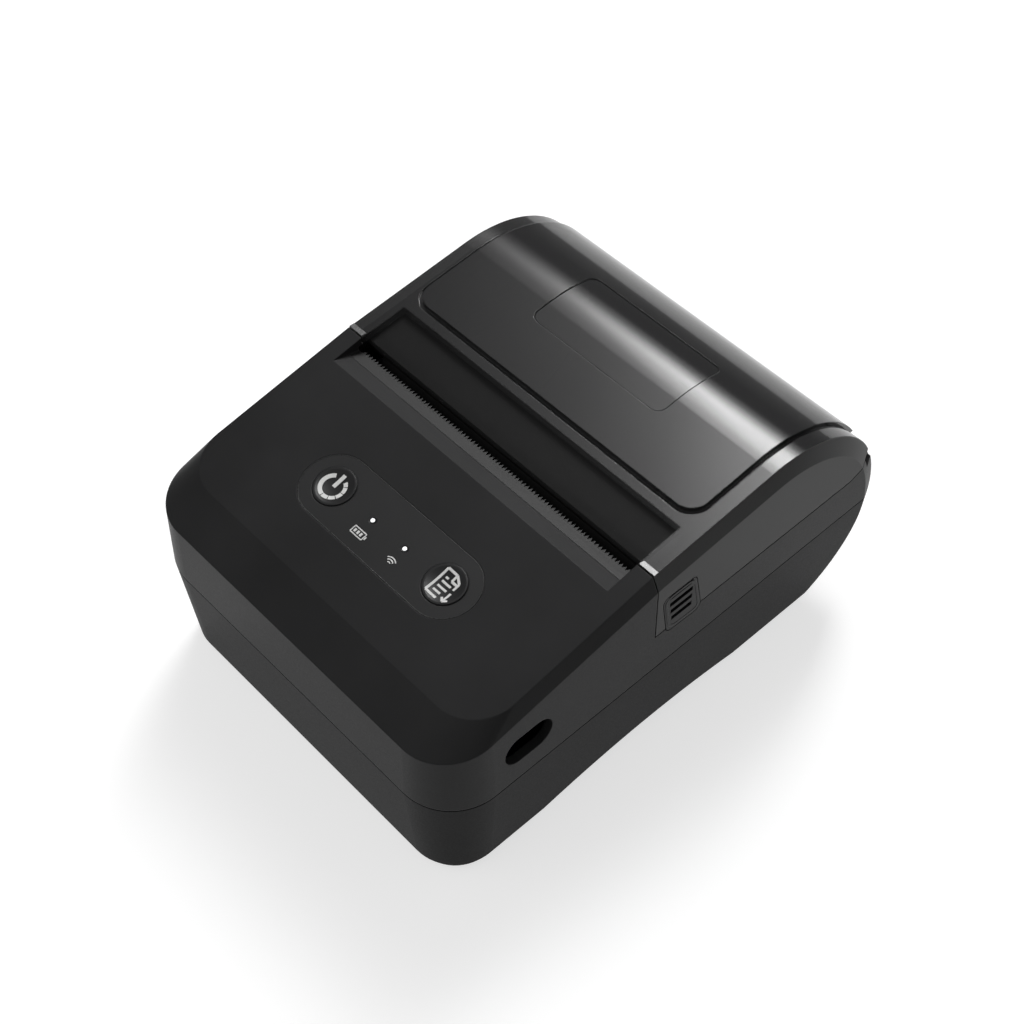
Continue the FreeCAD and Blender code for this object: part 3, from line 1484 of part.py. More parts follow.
pieces = {
    "bottom_case": make_bottom_case(),
    "top_case": make_top_case(),
    "inner_chassis": make_inner_chassis(),
    "rubber_feet": make_rubber_feet(),
    "case_screws": make_case_screws(),
    "tear_bar": make_tear_bar(),
    "control_panel": make_control_panel(),
    "power_button": make_button(-control_half_spacing),
    "feed_button": make_button(control_half_spacing),
    "led_light_pipes": make_led_light_pipes(),
    "key_board": make_key_board(),
    "key_switches": make_key_switches(),
    "key_leds": make_key_leds(),
    "key_board_screws": make_key_board_screws(),
    "key_cable": make_key_cable(),
    "main_board": make_main_board(),
    "board_screws": make_board_screws(),
    "usb_socket": make_usb_socket(),
    "radio_module": make_radio_module(),
    "board_chips": make_board_chips(),
    "board_capacitors": make_board_capacitors(),
    "board_connectors": make_board_connectors(),
    "battery_pack": make_battery_pack(),
    "battery_lead": make_battery_lead(),
    "mech_frame": make_mech_frame(),
    "mechanism_screws": make_mechanism_screws(),
    "motor_body": make_motor_body(),
    "motor_screws": make_motor_screws(),
    "motor_lead": make_motor_lead(),
    "motor_shaft": make_motor_shaft(),
    "motor_pinion": make_motor_pinion(),
    "idler_pin": make_idler_pin(),
    "idler_clip": make_idler_clip(),
    "idler_gear": make_idler_gear(),
    "head_heatsink": make_head_heatsink(),
    "head_ceramic": make_head_ceramic(),
    "head_pivot_pin": make_head_pivot_pin(),
    "head_springs": make_head_springs(),
    "head_cable": make_head_cable(),
    "paper_sensor": make_paper_sensor(),
    "hinge_pin": make_hinge_pin(),
    "lid_shell": make_lid_shell(),
    "platen_carrier": make_platen_carrier(),
    "carrier_screws": make_carrier_screws(),
    "platen_bushes": make_platen_bushes(),
    "platen_shaft": make_platen_shaft(),
    "platen_rubber": make_platen_rubber(),
    "platen_gear": make_platen_gear(),
    "release_button_right": release_button(shell),
}
pieces["release_button_left"] = mirrored(pieces["release_button_right"])

os.makedirs("parts", exist_ok=True)
for name, shape in pieces.items():
    shape.exportStep("parts/" + name + ".step")
    print(name, len(shape.Solids), "solids", round(shape.Volume, 1), "mm3", "valid", shape.isValid())
print("hinge axis y z", round(front(hinge_axis[0]), 4), round(hinge_axis[1], 4))
print("idler y z", round(front(idler[0]), 4), round(idler[1], 4))
print("pinion y z", round(front(pinion[0]), 4), round(pinion[1], 4))
pivot_centre = head_frame.multVec(V(0, -head_pivot_below, head_pivot_depth))
print("head pivot y z", round(pivot_centre.y, 4), round(pivot_centre.z, 4))
print("lift angle", round(lift_angle, 3), "top normal tilt", top_slope)
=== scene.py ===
# %% [markdown]
# # A portable receipt printer
# The solids of this printer come from a CAD model and are already in their places. This lesson
# dresses them: it sets up a camera and a small photo studio, gives every solid a finish, and adds
# the printed marks and fine trim that a CAD model leaves out.

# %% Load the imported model
import bpy
import json
import math
import numpy as np
from mathutils import Matrix, Vector


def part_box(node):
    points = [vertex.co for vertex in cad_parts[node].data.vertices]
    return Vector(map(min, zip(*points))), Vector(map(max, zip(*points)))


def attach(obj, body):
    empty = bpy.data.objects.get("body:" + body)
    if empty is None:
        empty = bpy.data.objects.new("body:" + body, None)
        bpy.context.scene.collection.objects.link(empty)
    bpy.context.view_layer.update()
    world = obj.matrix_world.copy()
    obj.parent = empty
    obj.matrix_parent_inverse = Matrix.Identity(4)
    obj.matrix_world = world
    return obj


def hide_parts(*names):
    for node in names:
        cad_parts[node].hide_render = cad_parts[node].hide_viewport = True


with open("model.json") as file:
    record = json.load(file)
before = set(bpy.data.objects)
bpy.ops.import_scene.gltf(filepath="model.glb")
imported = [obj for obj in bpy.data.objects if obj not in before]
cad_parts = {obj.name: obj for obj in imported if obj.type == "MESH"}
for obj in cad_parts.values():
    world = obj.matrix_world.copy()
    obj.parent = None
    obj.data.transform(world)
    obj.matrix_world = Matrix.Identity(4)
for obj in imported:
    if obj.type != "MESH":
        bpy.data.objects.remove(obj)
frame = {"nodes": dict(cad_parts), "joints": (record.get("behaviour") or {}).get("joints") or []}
nodes = frame["nodes"]
joints = {joint["name"]: joint for joint in frame["joints"]}
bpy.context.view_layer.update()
MM = 0.001

# %% [markdown]
# ## Camera
# The photograph looks down on the front right corner. The camera could be set by eye, but its place,
# direction and lens were fitted to the straight edges of the case instead, so that the render can be
# laid over the photograph. They are written here as real sizes.

# %% Camera
camera_place = Vector((191.0, -177.9, 356.85)) * MM
camera_line = Vector((-0.46006, 0.42399, -0.78011))
camera_roll = math.radians(-0.199)
camera_lens = 64.907
sensor_width = 36.0
nearest_view = 0.01

camera_data = bpy.data.cameras.new("photo_camera")
camera_data.lens = camera_lens
camera_data.sensor_width = sensor_width
camera_data.clip_start = nearest_view
camera = bpy.data.objects.new("photo_camera", camera_data)
camera.location = camera_place
camera.rotation_mode = "QUATERNION"
turn = camera_line.to_track_quat("-Z", "Y").to_matrix() @ Matrix.Rotation(camera_roll, 3, "Z")
camera.rotation_quaternion = turn.to_quaternion()
bpy.context.scene.collection.objects.link(camera)
bpy.context.scene.camera = camera
bpy.context.scene.view_settings.view_transform = "Standard"
print("camera distance in mm:", round(camera_place.length / MM))

# %% [markdown]
# ## Studio
# The photograph is lit from behind by one large softbox, and the polished lid mirrors it. The mirror
# image ends sharply on the right and dies away on the left and upwards, so the face of the lamp isn't
# even. A lamp has nodes as a material has: Parametric tells where on the face a ray starts, and a ramp
# over each direction dims the face. A picture on the lamp could do the same, but ramps need no file.
# Both lamps stand three metres off, so that the floor is lit evenly. A lamp's power is worked out from
# the brightness of its face, which is what a polished surface shows.

# %% Lamps
lamp_distance = 3.0
middle = Vector((0.0, 0.0, 0.03))
key_azimuth, key_elevation, key_shift = 115.0, 52.0, 0.57
key_wide, key_tall, key_brightness = 1.44, 2.52, 22.0
fill_azimuth, fill_elevation = -115.0, 40.0
fill_wide, fill_tall, fill_brightness = 2.4, 1.6, 0.8


def softbox(name, azimuth, elevation, wide, tall, brightness, shift=0.0):
    """A rectangular lamp that faces the printer: its power is pi times brightness and area. A shift
    slides it along its own width."""
    data = bpy.data.lights.new(name, "AREA")
    data.shape = "RECTANGLE"
    data.size = wide
    data.size_y = tall
    data.energy = math.pi * brightness * wide * tall
    lamp = bpy.data.objects.new(name, data)
    level = math.cos(math.radians(elevation))
    out = Vector((level * math.cos(math.radians(azimuth)), level * math.sin(math.radians(azimuth)),
                  math.sin(math.radians(elevation))))
    lamp.rotation_mode = "QUATERNION"
    lamp.rotation_quaternion = (-out).to_track_quat("-Z", "Y")
    lamp.location = middle + out * lamp_distance + lamp.rotation_quaternion @ Vector((shift, 0.0, 0.0))
    bpy.context.scene.collection.objects.link(lamp)
    return data


key_lamp = softbox("key_softbox", key_azimuth, key_elevation, key_wide, key_tall, key_brightness, key_shift)
softbox("front_fill", fill_azimuth, fill_elevation, fill_wide, fill_tall, fill_brightness)
print("lamps:", [light.name for light in bpy.data.lights])

# %% Fading face of the key lamp
fade_across = ((0.0, 1.0), (0.33, 1.0), (0.44, 0.62), (0.58, 0.21), (0.71, 0.083), (0.83, 0.038),
               (1.0, 0.0))
fade_upwards = ((0.0, 0.02), (0.09, 0.1), (0.16, 0.33), (0.23, 0.68), (0.29, 1.0), (0.5, 1.0), (0.63, 0.6),
                (0.8, 0.25), (1.0, 0.1))


def set_ramp(ramp, levels):
    """Fills a colour ramp with grey levels, given as place and level."""
    while len(ramp.elements) < len(levels):
        ramp.elements.new(1.0)
    for element, (place, level) in zip(ramp.elements, levels):
        element.position = place
        element.color = (level, level, level, 1.0)


def fade_face(data, across, upwards):
    """Dims a lamp's face: its strength is the product of a ramp across it and a ramp up it."""
    data.use_nodes = True
    tree = data.node_tree
    face = tree.nodes.new("ShaderNodeNewGeometry")
    parts = tree.nodes.new("ShaderNodeSeparateXYZ")
    both = tree.nodes.new("ShaderNodeMath")
    both.operation = "MULTIPLY"
    tree.links.new(face.outputs["Parametric"], parts.inputs["Vector"])
    for side, (axis, levels) in enumerate((("X", across), ("Y", upwards))):
        ramp = tree.nodes.new("ShaderNodeValToRGB")
        set_ramp(ramp.color_ramp, levels)
        tree.links.new(parts.outputs[axis], ramp.inputs["Fac"])
        tree.links.new(ramp.outputs["Color"], both.inputs[side])
    tree.links.new(both.outputs[0], tree.nodes["Emission"].inputs["Strength"])


fade_face(key_lamp, fade_across, fade_upwards)
print("steps in the fade, across and upwards:", len(fade_across), len(fade_upwards))

# %% [markdown]
# ## Surroundings
# The room round the printer is dim, a little lighter at the horizon and overhead than between. A
# picture of a room could light it, but matt plastic shows little of one. A colour ramp over the
# height of the direction is enough, and keeps black plastic black.

# %% Studio walls
wall_levels = ((0.0, 0.30), (0.25, 0.18), (0.45, 0.18), (0.8, 0.30))

world = bpy.data.worlds.new("studio_walls")
bpy.context.scene.world = world
world.use_nodes = True
tree = world.node_tree
direction = tree.nodes.new("ShaderNodeTexCoord")
parts = tree.nodes.new("ShaderNodeSeparateXYZ")
tree.links.new(direction.outputs["Generated"], parts.inputs["Vector"])
ramp = tree.nodes.new("ShaderNodeValToRGB")
set_ramp(ramp.color_ramp, wall_levels)
tree.links.new(parts.outputs["Z"], ramp.inputs["Fac"])
tree.links.new(ramp.outputs["Color"], tree.nodes["Background"].inputs["Color"])
print("wall levels:", wall_levels)

# %% [markdown]
# ## White floor
# The floor under the product is plain and pale, and in the photograph it shows as white with a soft
# shadow. A pale floor at a plain level of light renders as grey, so a glow is added for the rays that
# show it: those of the camera, of reflections and of clear plastic. The light on the printer doesn't
# change, and the shadow stays.

# %% Floor
floor_reach = 60.0
floor_glow = 0.66
floor_grey = 0.50

corner = np.array([[-1, -1, 0], [1, -1, 0], [1, 1, 0], [-1, 1, 0]]) * floor_reach
floor_mesh = bpy.data.meshes.new("studio_floor")
floor_mesh.from_pydata(corner.tolist(), [], [[0, 1, 2, 3]])
floor = bpy.data.objects.new("studio_floor", floor_mesh)
bpy.context.scene.collection.objects.link(floor)

sweep = bpy.data.materials.new("white_sweep")
sweep.use_nodes = True
tree = sweep.node_tree
shader = tree.nodes["Principled BSDF"]
shader.inputs["Base Color"].default_value = (floor_grey, floor_grey, floor_grey, 1.0)
shader.inputs["Roughness"].default_value = 0.9
shader.inputs["Specular IOR Level"].default_value = 0.1
shader.inputs["Emission Color"].default_value = (1.0, 1.0, 1.0, 1.0)
rays = tree.nodes.new("ShaderNodeLightPath")
seen = rays.outputs["Is Camera Ray"]
for kind in ("Is Glossy Ray", "Is Transmission Ray"):
    either = tree.nodes.new("ShaderNodeMath")
    either.operation = "MAXIMUM"
    tree.links.new(seen, either.inputs[0])
    tree.links.new(rays.outputs[kind], either.inputs[1])
    seen = either.outputs[0]
glow = tree.nodes.new("ShaderNodeMath")
glow.operation = "MULTIPLY"
glow.inputs[1].default_value = floor_glow
tree.links.new(seen, glow.inputs[0])
tree.links.new(glow.outputs[0], shader.inputs["Emission Strength"])
floor_mesh.materials.append(sweep)
print("floor reach in m:", floor_reach)

# %% [markdown]
# ## Shared effects
# Moulded plastic is never a flat colour. Three effects are used by many finishes, so each is a small
# node group: a fine moulded grain, a slow cloudiness in the colour, and a mask that finds the edges
# by comparing the true normal with a rounded one.

# %% Moulded grain
noise_low, noise_high = 0.3, 0.7


def start_group(name, inputs, outputs):
    """A shader group with number inputs, given as name and default, and typed outputs."""
    group = bpy.data.node_groups.new(name, "ShaderNodeTree")
    for label, value in inputs:
        socket = group.interface.new_socket(label, in_out="INPUT", socket_type="NodeSocketFloat")
        socket.default_value = value
    for label, kind in outputs:
        group.interface.new_socket(label, in_out="OUTPUT", socket_type="NodeSocket" + kind)
    return group, group.nodes.new("NodeGroupInput"), group.nodes.new("NodeGroupOutput")


def moulded_grain():
    """Fine bumps of a spark-eroded mould: noise at grain size, as a height and a roughness."""
    group, given, made = start_group(
        "moulded_grain",
        [("Scale", 2600.0), ("Rough Low", 0.45), ("Rough High", 0.55)],
        [("Height", "Float"), ("Roughness", "Float")],
    )
    place = group.nodes.new("ShaderNodeTexCoord")
    noise = group.nodes.new("ShaderNodeTexNoise")
    noise.inputs["Detail"].default_value = 2.0
    group.links.new(place.outputs["Object"], noise.inputs["Vector"])
    group.links.new(given.outputs["Scale"], noise.inputs["Scale"])
    rough = group.nodes.new("ShaderNodeMapRange")
    rough.inputs["From Min"].default_value = noise_low
    rough.inputs["From Max"].default_value = noise_high
    group.links.new(noise.outputs["Fac"], rough.inputs["Value"])
    group.links.new(given.outputs["Rough Low"], rough.inputs["To Min"])
    group.links.new(given.outputs["Rough High"], rough.inputs["To Max"])
    group.links.new(noise.outputs["Fac"], made.inputs["Height"])
    group.links.new(rough.outputs["Result"], made.inputs["Roughness"])
    return group


grain_group = moulded_grain()
print("node group:", grain_group.name)

# %% Slow cloud
def slow_cloud():
    """Large soft noise from 0 to 1, for slight colour changes across a moulding."""
    group, given, made = start_group("slow_cloud", [("Scale", 45.0)], [("Cloud", "Float")])
    place = group.nodes.new("ShaderNodeTexCoord")
    noise = group.nodes.new("ShaderNodeTexNoise")
    noise.inputs["Detail"].default_value = 3.0
    group.links.new(place.outputs["Object"], noise.inputs["Vector"])
    group.links.new(given.outputs["Scale"], noise.inputs["Scale"])
    spread = group.nodes.new("ShaderNodeMapRange")
    spread.inputs["From Min"].default_value = noise_low
    spread.inputs["From Max"].default_value = noise_high
    group.links.new(noise.outputs["Fac"], spread.inputs["Value"])
    group.links.new(spread.outputs["Result"], made.inputs["Cloud"])
    return group


cloud_group = slow_cloud()
print("node group:", cloud_group.name)

# %% Soft edges
mask_starts, mask_full = 0.995, 0.85


def soft_edges():
    """A normal that rounds sharp edges, and a mask that is 1 where it leaves the true normal."""
    group, given, made = start_group(
        "soft_edges", [("Radius", 0.0004)], [("Normal", "Vector"), ("Edge", "Float")]
    )
    bevel = group.nodes.new("ShaderNodeBevel")
    bevel.samples = 6
    group.links.new(given.outputs["Radius"], bevel.inputs["Radius"])
    shape = group.nodes.new("ShaderNodeNewGeometry")
    along = group.nodes.new("ShaderNodeVectorMath")
    along.operation = "DOT_PRODUCT"
    group.links.new(bevel.outputs["Normal"], along.inputs[0])
    group.links.new(shape.outputs["Normal"], along.inputs[1])
    mask = group.nodes.new("ShaderNodeMapRange")
    mask.inputs["From Min"].default_value = mask_starts
    mask.inputs["From Max"].default_value = mask_full
    group.links.new(along.outputs["Value"], mask.inputs["Value"])
    group.links.new(bevel.outputs["Normal"], made.inputs["Normal"])
    group.links.new(mask.outputs["Result"], made.inputs["Edge"])
    return group


edge_group = soft_edges()
print("node groups:", [group.name for group in bpy.data.node_groups])

# %% [markdown]
# ## Plastic finishes
# One function makes every plain plastic, because they differ only in numbers: colour, shine, grain and how
# round their edges look. The colour drifts a little with the cloud and is lifted along the edges, partly as
# wear where handling polishes a moulding first and partly as a painted sheen of light on the rounded edge.

# %% Plastic builder
rough_spread = 0.04
grain_strength = 0.5


def place_group(tree, group, **values):
    """A node that uses a group, with its inputs set. In a name an underscore stands for a space."""
    node = tree.nodes.new("ShaderNodeGroup")
    node.node_tree = group
    for label, value in values.items():
        node.inputs[label.replace("_", " ")].default_value = value
    return node


def start_material(name):
    """A new material, its node tree and its Principled shader."""
    material = bpy.data.materials.new(name)
    material.use_nodes = True
    return material, material.node_tree, material.node_tree.nodes["Principled BSDF"]


def blend_colours(tree, factor, first, second):
    """A colour between two, by a factor socket. Each may be a colour or a socket."""
    mix = tree.nodes.new("ShaderNodeMix")
    mix.data_type = "RGBA"
    tree.links.new(factor, mix.inputs["Factor"])
    for socket, colour in ((mix.inputs[6], first), (mix.inputs[7], second)):
        if isinstance(colour, bpy.types.NodeSocket):
            tree.links.new(colour, socket)
        else:
            socket.default_value = (*colour, 1.0)
    return mix.outputs[2]


def scaled(colour, factor):
    """A colour made lighter or darker by a factor, kept within white."""
    return tuple(min(1.0, part * factor) for part in colour)


def plastic(name, colour, rough, grain_scale=2600.0, grain_depth=0.02, edge_radius=0.35, edge_lift=1.5,
            drift=0.12, shine=0.5):
    """Moulded plastic: cloudy colour, edges lifted by wear and a painted sheen, grain bump on rounded
    normals.
    """
    material, tree, shader = start_material(name)
    cloud = place_group(tree, cloud_group)
    edges = place_group(tree, edge_group, Radius=edge_radius * MM)
    grain = place_group(tree, grain_group, Scale=grain_scale, Rough_Low=rough - rough_spread,
                        Rough_High=rough + rough_spread)
    body = blend_colours(tree, cloud.outputs["Cloud"], scaled(colour, 1 - drift), scaled(colour, 1 + drift))
    # Lighter colour along the edges: partly wear, partly a painted sheen of light on the rounded edge.
    worn_and_sheen = blend_colours(tree, edges.outputs["Edge"], body, scaled(colour, edge_lift))
    bump = tree.nodes.new("ShaderNodeBump")
    bump.inputs["Strength"].default_value = grain_strength
    bump.inputs["Distance"].default_value = grain_depth * MM
    tree.links.new(grain.outputs["Height"], bump.inputs["Height"])
    tree.links.new(edges.outputs["Normal"], bump.inputs["Normal"])
    tree.links.new(worn_and_sheen, shader.inputs["Base Color"])
    tree.links.new(grain.outputs["Roughness"], shader.inputs["Roughness"])
    tree.links.new(bump.outputs["Normal"], shader.inputs["Normal"])
    shader.inputs["Specular IOR Level"].default_value = shine
    return material


case_finish = plastic("case_black", (0.022, 0.022, 0.0225), 0.43, shine=0.09)
lower_finish = plastic("lower_case_black", (0.017, 0.017, 0.0175), 0.48, shine=0.045)
print("case finishes:", case_finish.name, lower_finish.name)

# %% Plastics of the smaller pieces
panel_finish = plastic("panel_film", (0.020, 0.020, 0.0205), 0.38, grain_scale=4000.0, grain_depth=0.008,
                       shine=0.25)
key_finish = plastic("key_black", (0.011, 0.011, 0.0115), 0.34, grain_scale=4000.0, grain_depth=0.005,
                     edge_radius=0.25, shine=0.35)
release_finish = plastic("release_black", (0.010, 0.010, 0.0105), 0.40, grain_scale=4000.0,
                         grain_depth=0.002, edge_radius=0.2, edge_lift=2.0, shine=0.12)
inner_finish = plastic("inner_black", (0.012, 0.012, 0.0125), 0.55, grain_depth=0.001, shine=0.3)
carrier_finish = plastic("carrier_black", (0.005, 0.005, 0.005), 0.6, grain_depth=0.001, edge_lift=1.0,
                         shine=0.1)
rubber_finish = plastic("soft_rubber", (0.018, 0.018, 0.018), 0.75, grain_scale=1500.0, grain_depth=0.03,
                        shine=0.3)
nylon_finish = plastic("gear_nylon", (0.72, 0.70, 0.63), 0.45, edge_radius=0.1, edge_lift=1.1, drift=0.05)
chip_finish = plastic("chip_black", (0.02, 0.02, 0.021), 0.6, edge_radius=0.15)
socket_finish = plastic("connector_ivory", (0.68, 0.64, 0.53), 0.5, edge_radius=0.12, edge_lift=1.1,
                        drift=0.05)
sleeve_finish = plastic("lead_sleeve", (0.02, 0.02, 0.02), 0.5, edge_radius=0.1)
ceramic_finish = plastic("ceramic_strip", (0.62, 0.60, 0.54), 0.35, edge_radius=0.1, edge_lift=1.1,
                         drift=0.06)
wrap_finish = plastic("battery_wrap", (0.03, 0.10, 0.34), 0.25, grain_scale=300.0, grain_depth=0.05,
                      drift=0.15)
print("panel, key and release finishes:", panel_finish.name, key_finish.name, release_finish.name)

# %% [markdown]
# ## Smoke lid
# The lid is tinted clear plastic. Real refraction would leave the inside black, because lamps can't be
# traced through it, so the tint is made with alpha instead: a share of each ray passes straight on and the
# rest meets a polished dark surface. The window in the middle is the most polished. The lid's ends are
# matt, and their colour is darkened as painted shade; over the carrier bar, which lies against the lid's
# underside, almost only the black bar shows. Those zones are soft masks on Object coordinates. Along the
# edges the colour is lightened as a painted highlight.

# %% Lid zones
lid_low, lid_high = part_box("lid_shell")
carrier_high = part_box("platen_carrier")[1]
carrier_depth = 12.4 * MM
end_starts = 47.6 * MM
zone_soft = 0.2 * MM


def beyond(tree, value, limit, soft):
    """A mask that rises from 0 to 1 where a value passes a limit; a negative softness turns it round."""
    border = tree.nodes.new("ShaderNodeMapRange")
    border.inputs["From Min"].default_value = limit - soft
    border.inputs["From Max"].default_value = limit + soft
    tree.links.new(value, border.inputs["Value"])
    return border.outputs["Result"]


def calculate(tree, operation, *values):
    """One sum on number sockets, such as a product."""
    result = tree.nodes.new("ShaderNodeMath")
    result.operation = operation
    for socket, value in zip(result.inputs, values):
        tree.links.new(value, socket)
    return result.outputs[0]


def blend_values(tree, factor, first, second):
    """A number between two, by a factor socket. Each may be a number or a socket."""
    mix = tree.nodes.new("ShaderNodeMix")
    tree.links.new(factor, mix.inputs[0])
    for socket, value in ((mix.inputs[2], first), (mix.inputs[3], second)):
        if isinstance(value, bpy.types.NodeSocket):
            tree.links.new(value, socket)
        else:
            socket.default_value = value
    return mix.outputs[0]


print("zone borders in mm, ends and bar:", round(end_starts / MM, 1), round(carrier_high.x / MM, 1))

# %% Smoke lid finish
window_alpha, end_alpha, bar_alpha = 0.87, 0.94, 0.05
window_rough, end_rough, bar_rough = 0.10, 0.50, 0.45
lid_edge = 0.25
ripple_scale, ripple_depth = 30.0, 0.02


def smoke_window():
    """Polished tint: alpha lets the inside show, colour, polish and alpha change with the zone, the ends
    are darkened as painted shade and the edges are lightened as a painted highlight.
    """
    material, tree, shader = start_material("lid_smoke")
    cloud = place_group(tree, cloud_group, Scale=ripple_scale)
    edges = place_group(tree, edge_group, Radius=lid_edge * MM)
    place = tree.nodes.new("ShaderNodeTexCoord")
    parts = tree.nodes.new("ShaderNodeSeparateXYZ")
    tree.links.new(place.outputs["Object"], parts.inputs["Vector"])
    reach = calculate(tree, "ABSOLUTE", parts.outputs["X"])
    ends = beyond(tree, reach, end_starts, zone_soft)
    across = beyond(tree, reach, carrier_high.x, -zone_soft)
    along = beyond(tree, parts.outputs["Y"], lid_low.y + carrier_depth, -zone_soft)
    barred = calculate(tree, "MULTIPLY", across, along)
    smoke = blend_colours(tree, cloud.outputs["Cloud"], (0.021, 0.021, 0.0215), (0.025, 0.025, 0.0255))
    # Darker colour on the lid's ends: painted shade.
    dim = blend_colours(tree, ends, smoke, (0.006, 0.006, 0.006))
    tint = blend_colours(tree, barred, dim, (0.004, 0.004, 0.004))
    # Lighter colour along the lid's edges: a painted highlight.
    bright = blend_colours(tree, edges.outputs["Edge"], tint, (0.05, 0.05, 0.05))
    bump = tree.nodes.new("ShaderNodeBump")
    bump.inputs["Strength"].default_value = 0.2
    bump.inputs["Distance"].default_value = ripple_depth * MM
    tree.links.new(cloud.outputs["Cloud"], bump.inputs["Height"])
    tree.links.new(edges.outputs["Normal"], bump.inputs["Normal"])
    tree.links.new(bright, shader.inputs["Base Color"])
    polish = blend_values(tree, ends, window_rough, end_rough)
    clear = blend_values(tree, ends, window_alpha, end_alpha)
    tree.links.new(blend_values(tree, barred, polish, bar_rough), shader.inputs["Roughness"])
    tree.links.new(blend_values(tree, barred, clear, bar_alpha), shader.inputs["Alpha"])
    tree.links.new(bump.outputs["Normal"], shader.inputs["Normal"])
    shader.inputs["Specular IOR Level"].default_value = 0.36
    return material


lid_finish = smoke_window()
print("lid alpha, window, ends and bar:", window_alpha, end_alpha, bar_alpha)

# %% [markdown]
# ## Metal finishes
# Screws, shafts and the folded frame are plated steel with fine drawn lines. The heat sink is milled
# aluminium, and the tear blade is blackened steel. All come from one builder: noise stretched along
# one axis gives the lines. The shader's anisotropy would draw them too, but it needs tangents.

# %% Metal builder
metal_spread = 0.12
metal_edge, line_depth = 0.12, 0.01


def drawn_metal(name, colour, rough, stretch=(40.0, 4000.0, 4000.0)):
    """Metal with drawn lines: noise stretched along X changes the roughness and the height."""
    material, tree, shader = start_material(name)
    place = tree.nodes.new("ShaderNodeTexCoord")
    scale = tree.nodes.new("ShaderNodeMapping")
    scale.inputs["Scale"].default_value = stretch
    lines = tree.nodes.new("ShaderNodeTexNoise")
    lines.inputs["Scale"].default_value = 1.0
    lines.inputs["Detail"].default_value = 3.0
    tree.links.new(place.outputs["Object"], scale.inputs["Vector"])
    tree.links.new(scale.outputs["Vector"], lines.inputs["Vector"])
    rough_map = tree.nodes.new("ShaderNodeMapRange")
    rough_map.inputs["To Min"].default_value = rough - metal_spread
    rough_map.inputs["To Max"].default_value = rough + metal_spread
    tree.links.new(lines.outputs["Fac"], rough_map.inputs["Value"])
    edges = place_group(tree, edge_group, Radius=metal_edge * MM)
    colour_out = blend_colours(tree, lines.outputs["Fac"], scaled(colour, 0.85), scaled(colour, 1.1))
    bump = tree.nodes.new("ShaderNodeBump")
    bump.inputs["Strength"].default_value = 0.25
    bump.inputs["Distance"].default_value = line_depth * MM
    tree.links.new(lines.outputs["Fac"], bump.inputs["Height"])
    tree.links.new(edges.outputs["Normal"], bump.inputs["Normal"])
    tree.links.new(colour_out, shader.inputs["Base Color"])
    tree.links.new(rough_map.outputs["Result"], shader.inputs["Roughness"])
    tree.links.new(bump.outputs["Normal"], shader.inputs["Normal"])
    shader.inputs["Metallic"].default_value = 1.0
    return material


steel_finish = drawn_metal("plated_steel", (0.56, 0.56, 0.58), 0.34)
blade_finish = drawn_metal("blackened_steel", (0.026, 0.026, 0.026), 0.42)
sink_finish = drawn_metal("milled_aluminium", (0.72, 0.72, 0.73), 0.38)
print("metals:", steel_finish.name, blade_finish.name, sink_finish.name)

# %% [markdown]
# ## Circuit boards and flat cables
# A board is green lacquer over copper tracks. Drawn tracks would hardly show inside the case, so a
# pattern of right-angled cells stands in for them. A flat cable is clear film over parallel
# conductors, which is a wave of stripes along X. A light pipe is frosted and glows a little.

# %% Circuit board
def circuit_board():
    """Green lacquer with lighter tracks along the cell borders of a blocky pattern."""
    material, tree, shader = start_material("circuit_green")
    place = tree.nodes.new("ShaderNodeTexCoord")
    cells = tree.nodes.new("ShaderNodeTexVoronoi")
    cells.feature = "F2"
    cells.distance = "CHEBYCHEV"
    cells.inputs["Scale"].default_value = 260.0
    tree.links.new(place.outputs["Object"], cells.inputs["Vector"])
    tracks = tree.nodes.new("ShaderNodeMapRange")
    tracks.inputs["From Min"].default_value = 0.55
    tracks.inputs["From Max"].default_value = 0.65
    tree.links.new(cells.outputs["Distance"], tracks.inputs["Value"])
    lacquer = blend_colours(tree, tracks.outputs["Result"], (0.012, 0.085, 0.035), (0.03, 0.16, 0.07))
    tree.links.new(lacquer, shader.inputs["Base Color"])
    shader.inputs["Roughness"].default_value = 0.35
    return material


board_finish = circuit_board()
print("board finish:", board_finish.name)

# %% Flat cable and light pipe
def flat_cable():
    """Clear film over conductors: stripes along X between film colour and tinned copper."""
    material, tree, shader = start_material("flat_cable")
    place = tree.nodes.new("ShaderNodeTexCoord")
    stripes = tree.nodes.new("ShaderNodeTexWave")
    stripes.bands_direction = "X"
    stripes.inputs["Scale"].default_value = 300.0
    tree.links.new(place.outputs["Object"], stripes.inputs["Vector"])
    film = blend_colours(tree, stripes.outputs["Fac"], (0.62, 0.58, 0.48), (0.40, 0.38, 0.33))
    tree.links.new(film, shader.inputs["Base Color"])
    shader.inputs["Roughness"].default_value = 0.4
    return material


def lit_pin():
    """A frosted light pipe: pale plastic with a weak glow, slightly cloudy."""
    material, tree, shader = start_material("light_pipe")
    cloud = place_group(tree, cloud_group, Scale=900.0)
    glow = blend_colours(tree, cloud.outputs["Cloud"], (0.80, 0.82, 0.85), (1.0, 1.0, 1.0))
    tree.links.new(glow, shader.inputs["Base Color"])
    tree.links.new(glow, shader.inputs["Emission Color"])
    shader.inputs["Emission Strength"].default_value = 0.6
    shader.inputs["Roughness"].default_value = 0.4
    return material


cable_finish = flat_cable()
pin_finish = lit_pin()
print("cable and light finishes:", cable_finish.name, pin_finish.name)

# %% [markdown]
# ## Dressing the solids
# Every solid keeps its shape and only its material changes. A line for each solid would be long, so
# the table reads like a parts list: one finish, then the solids that wear it.

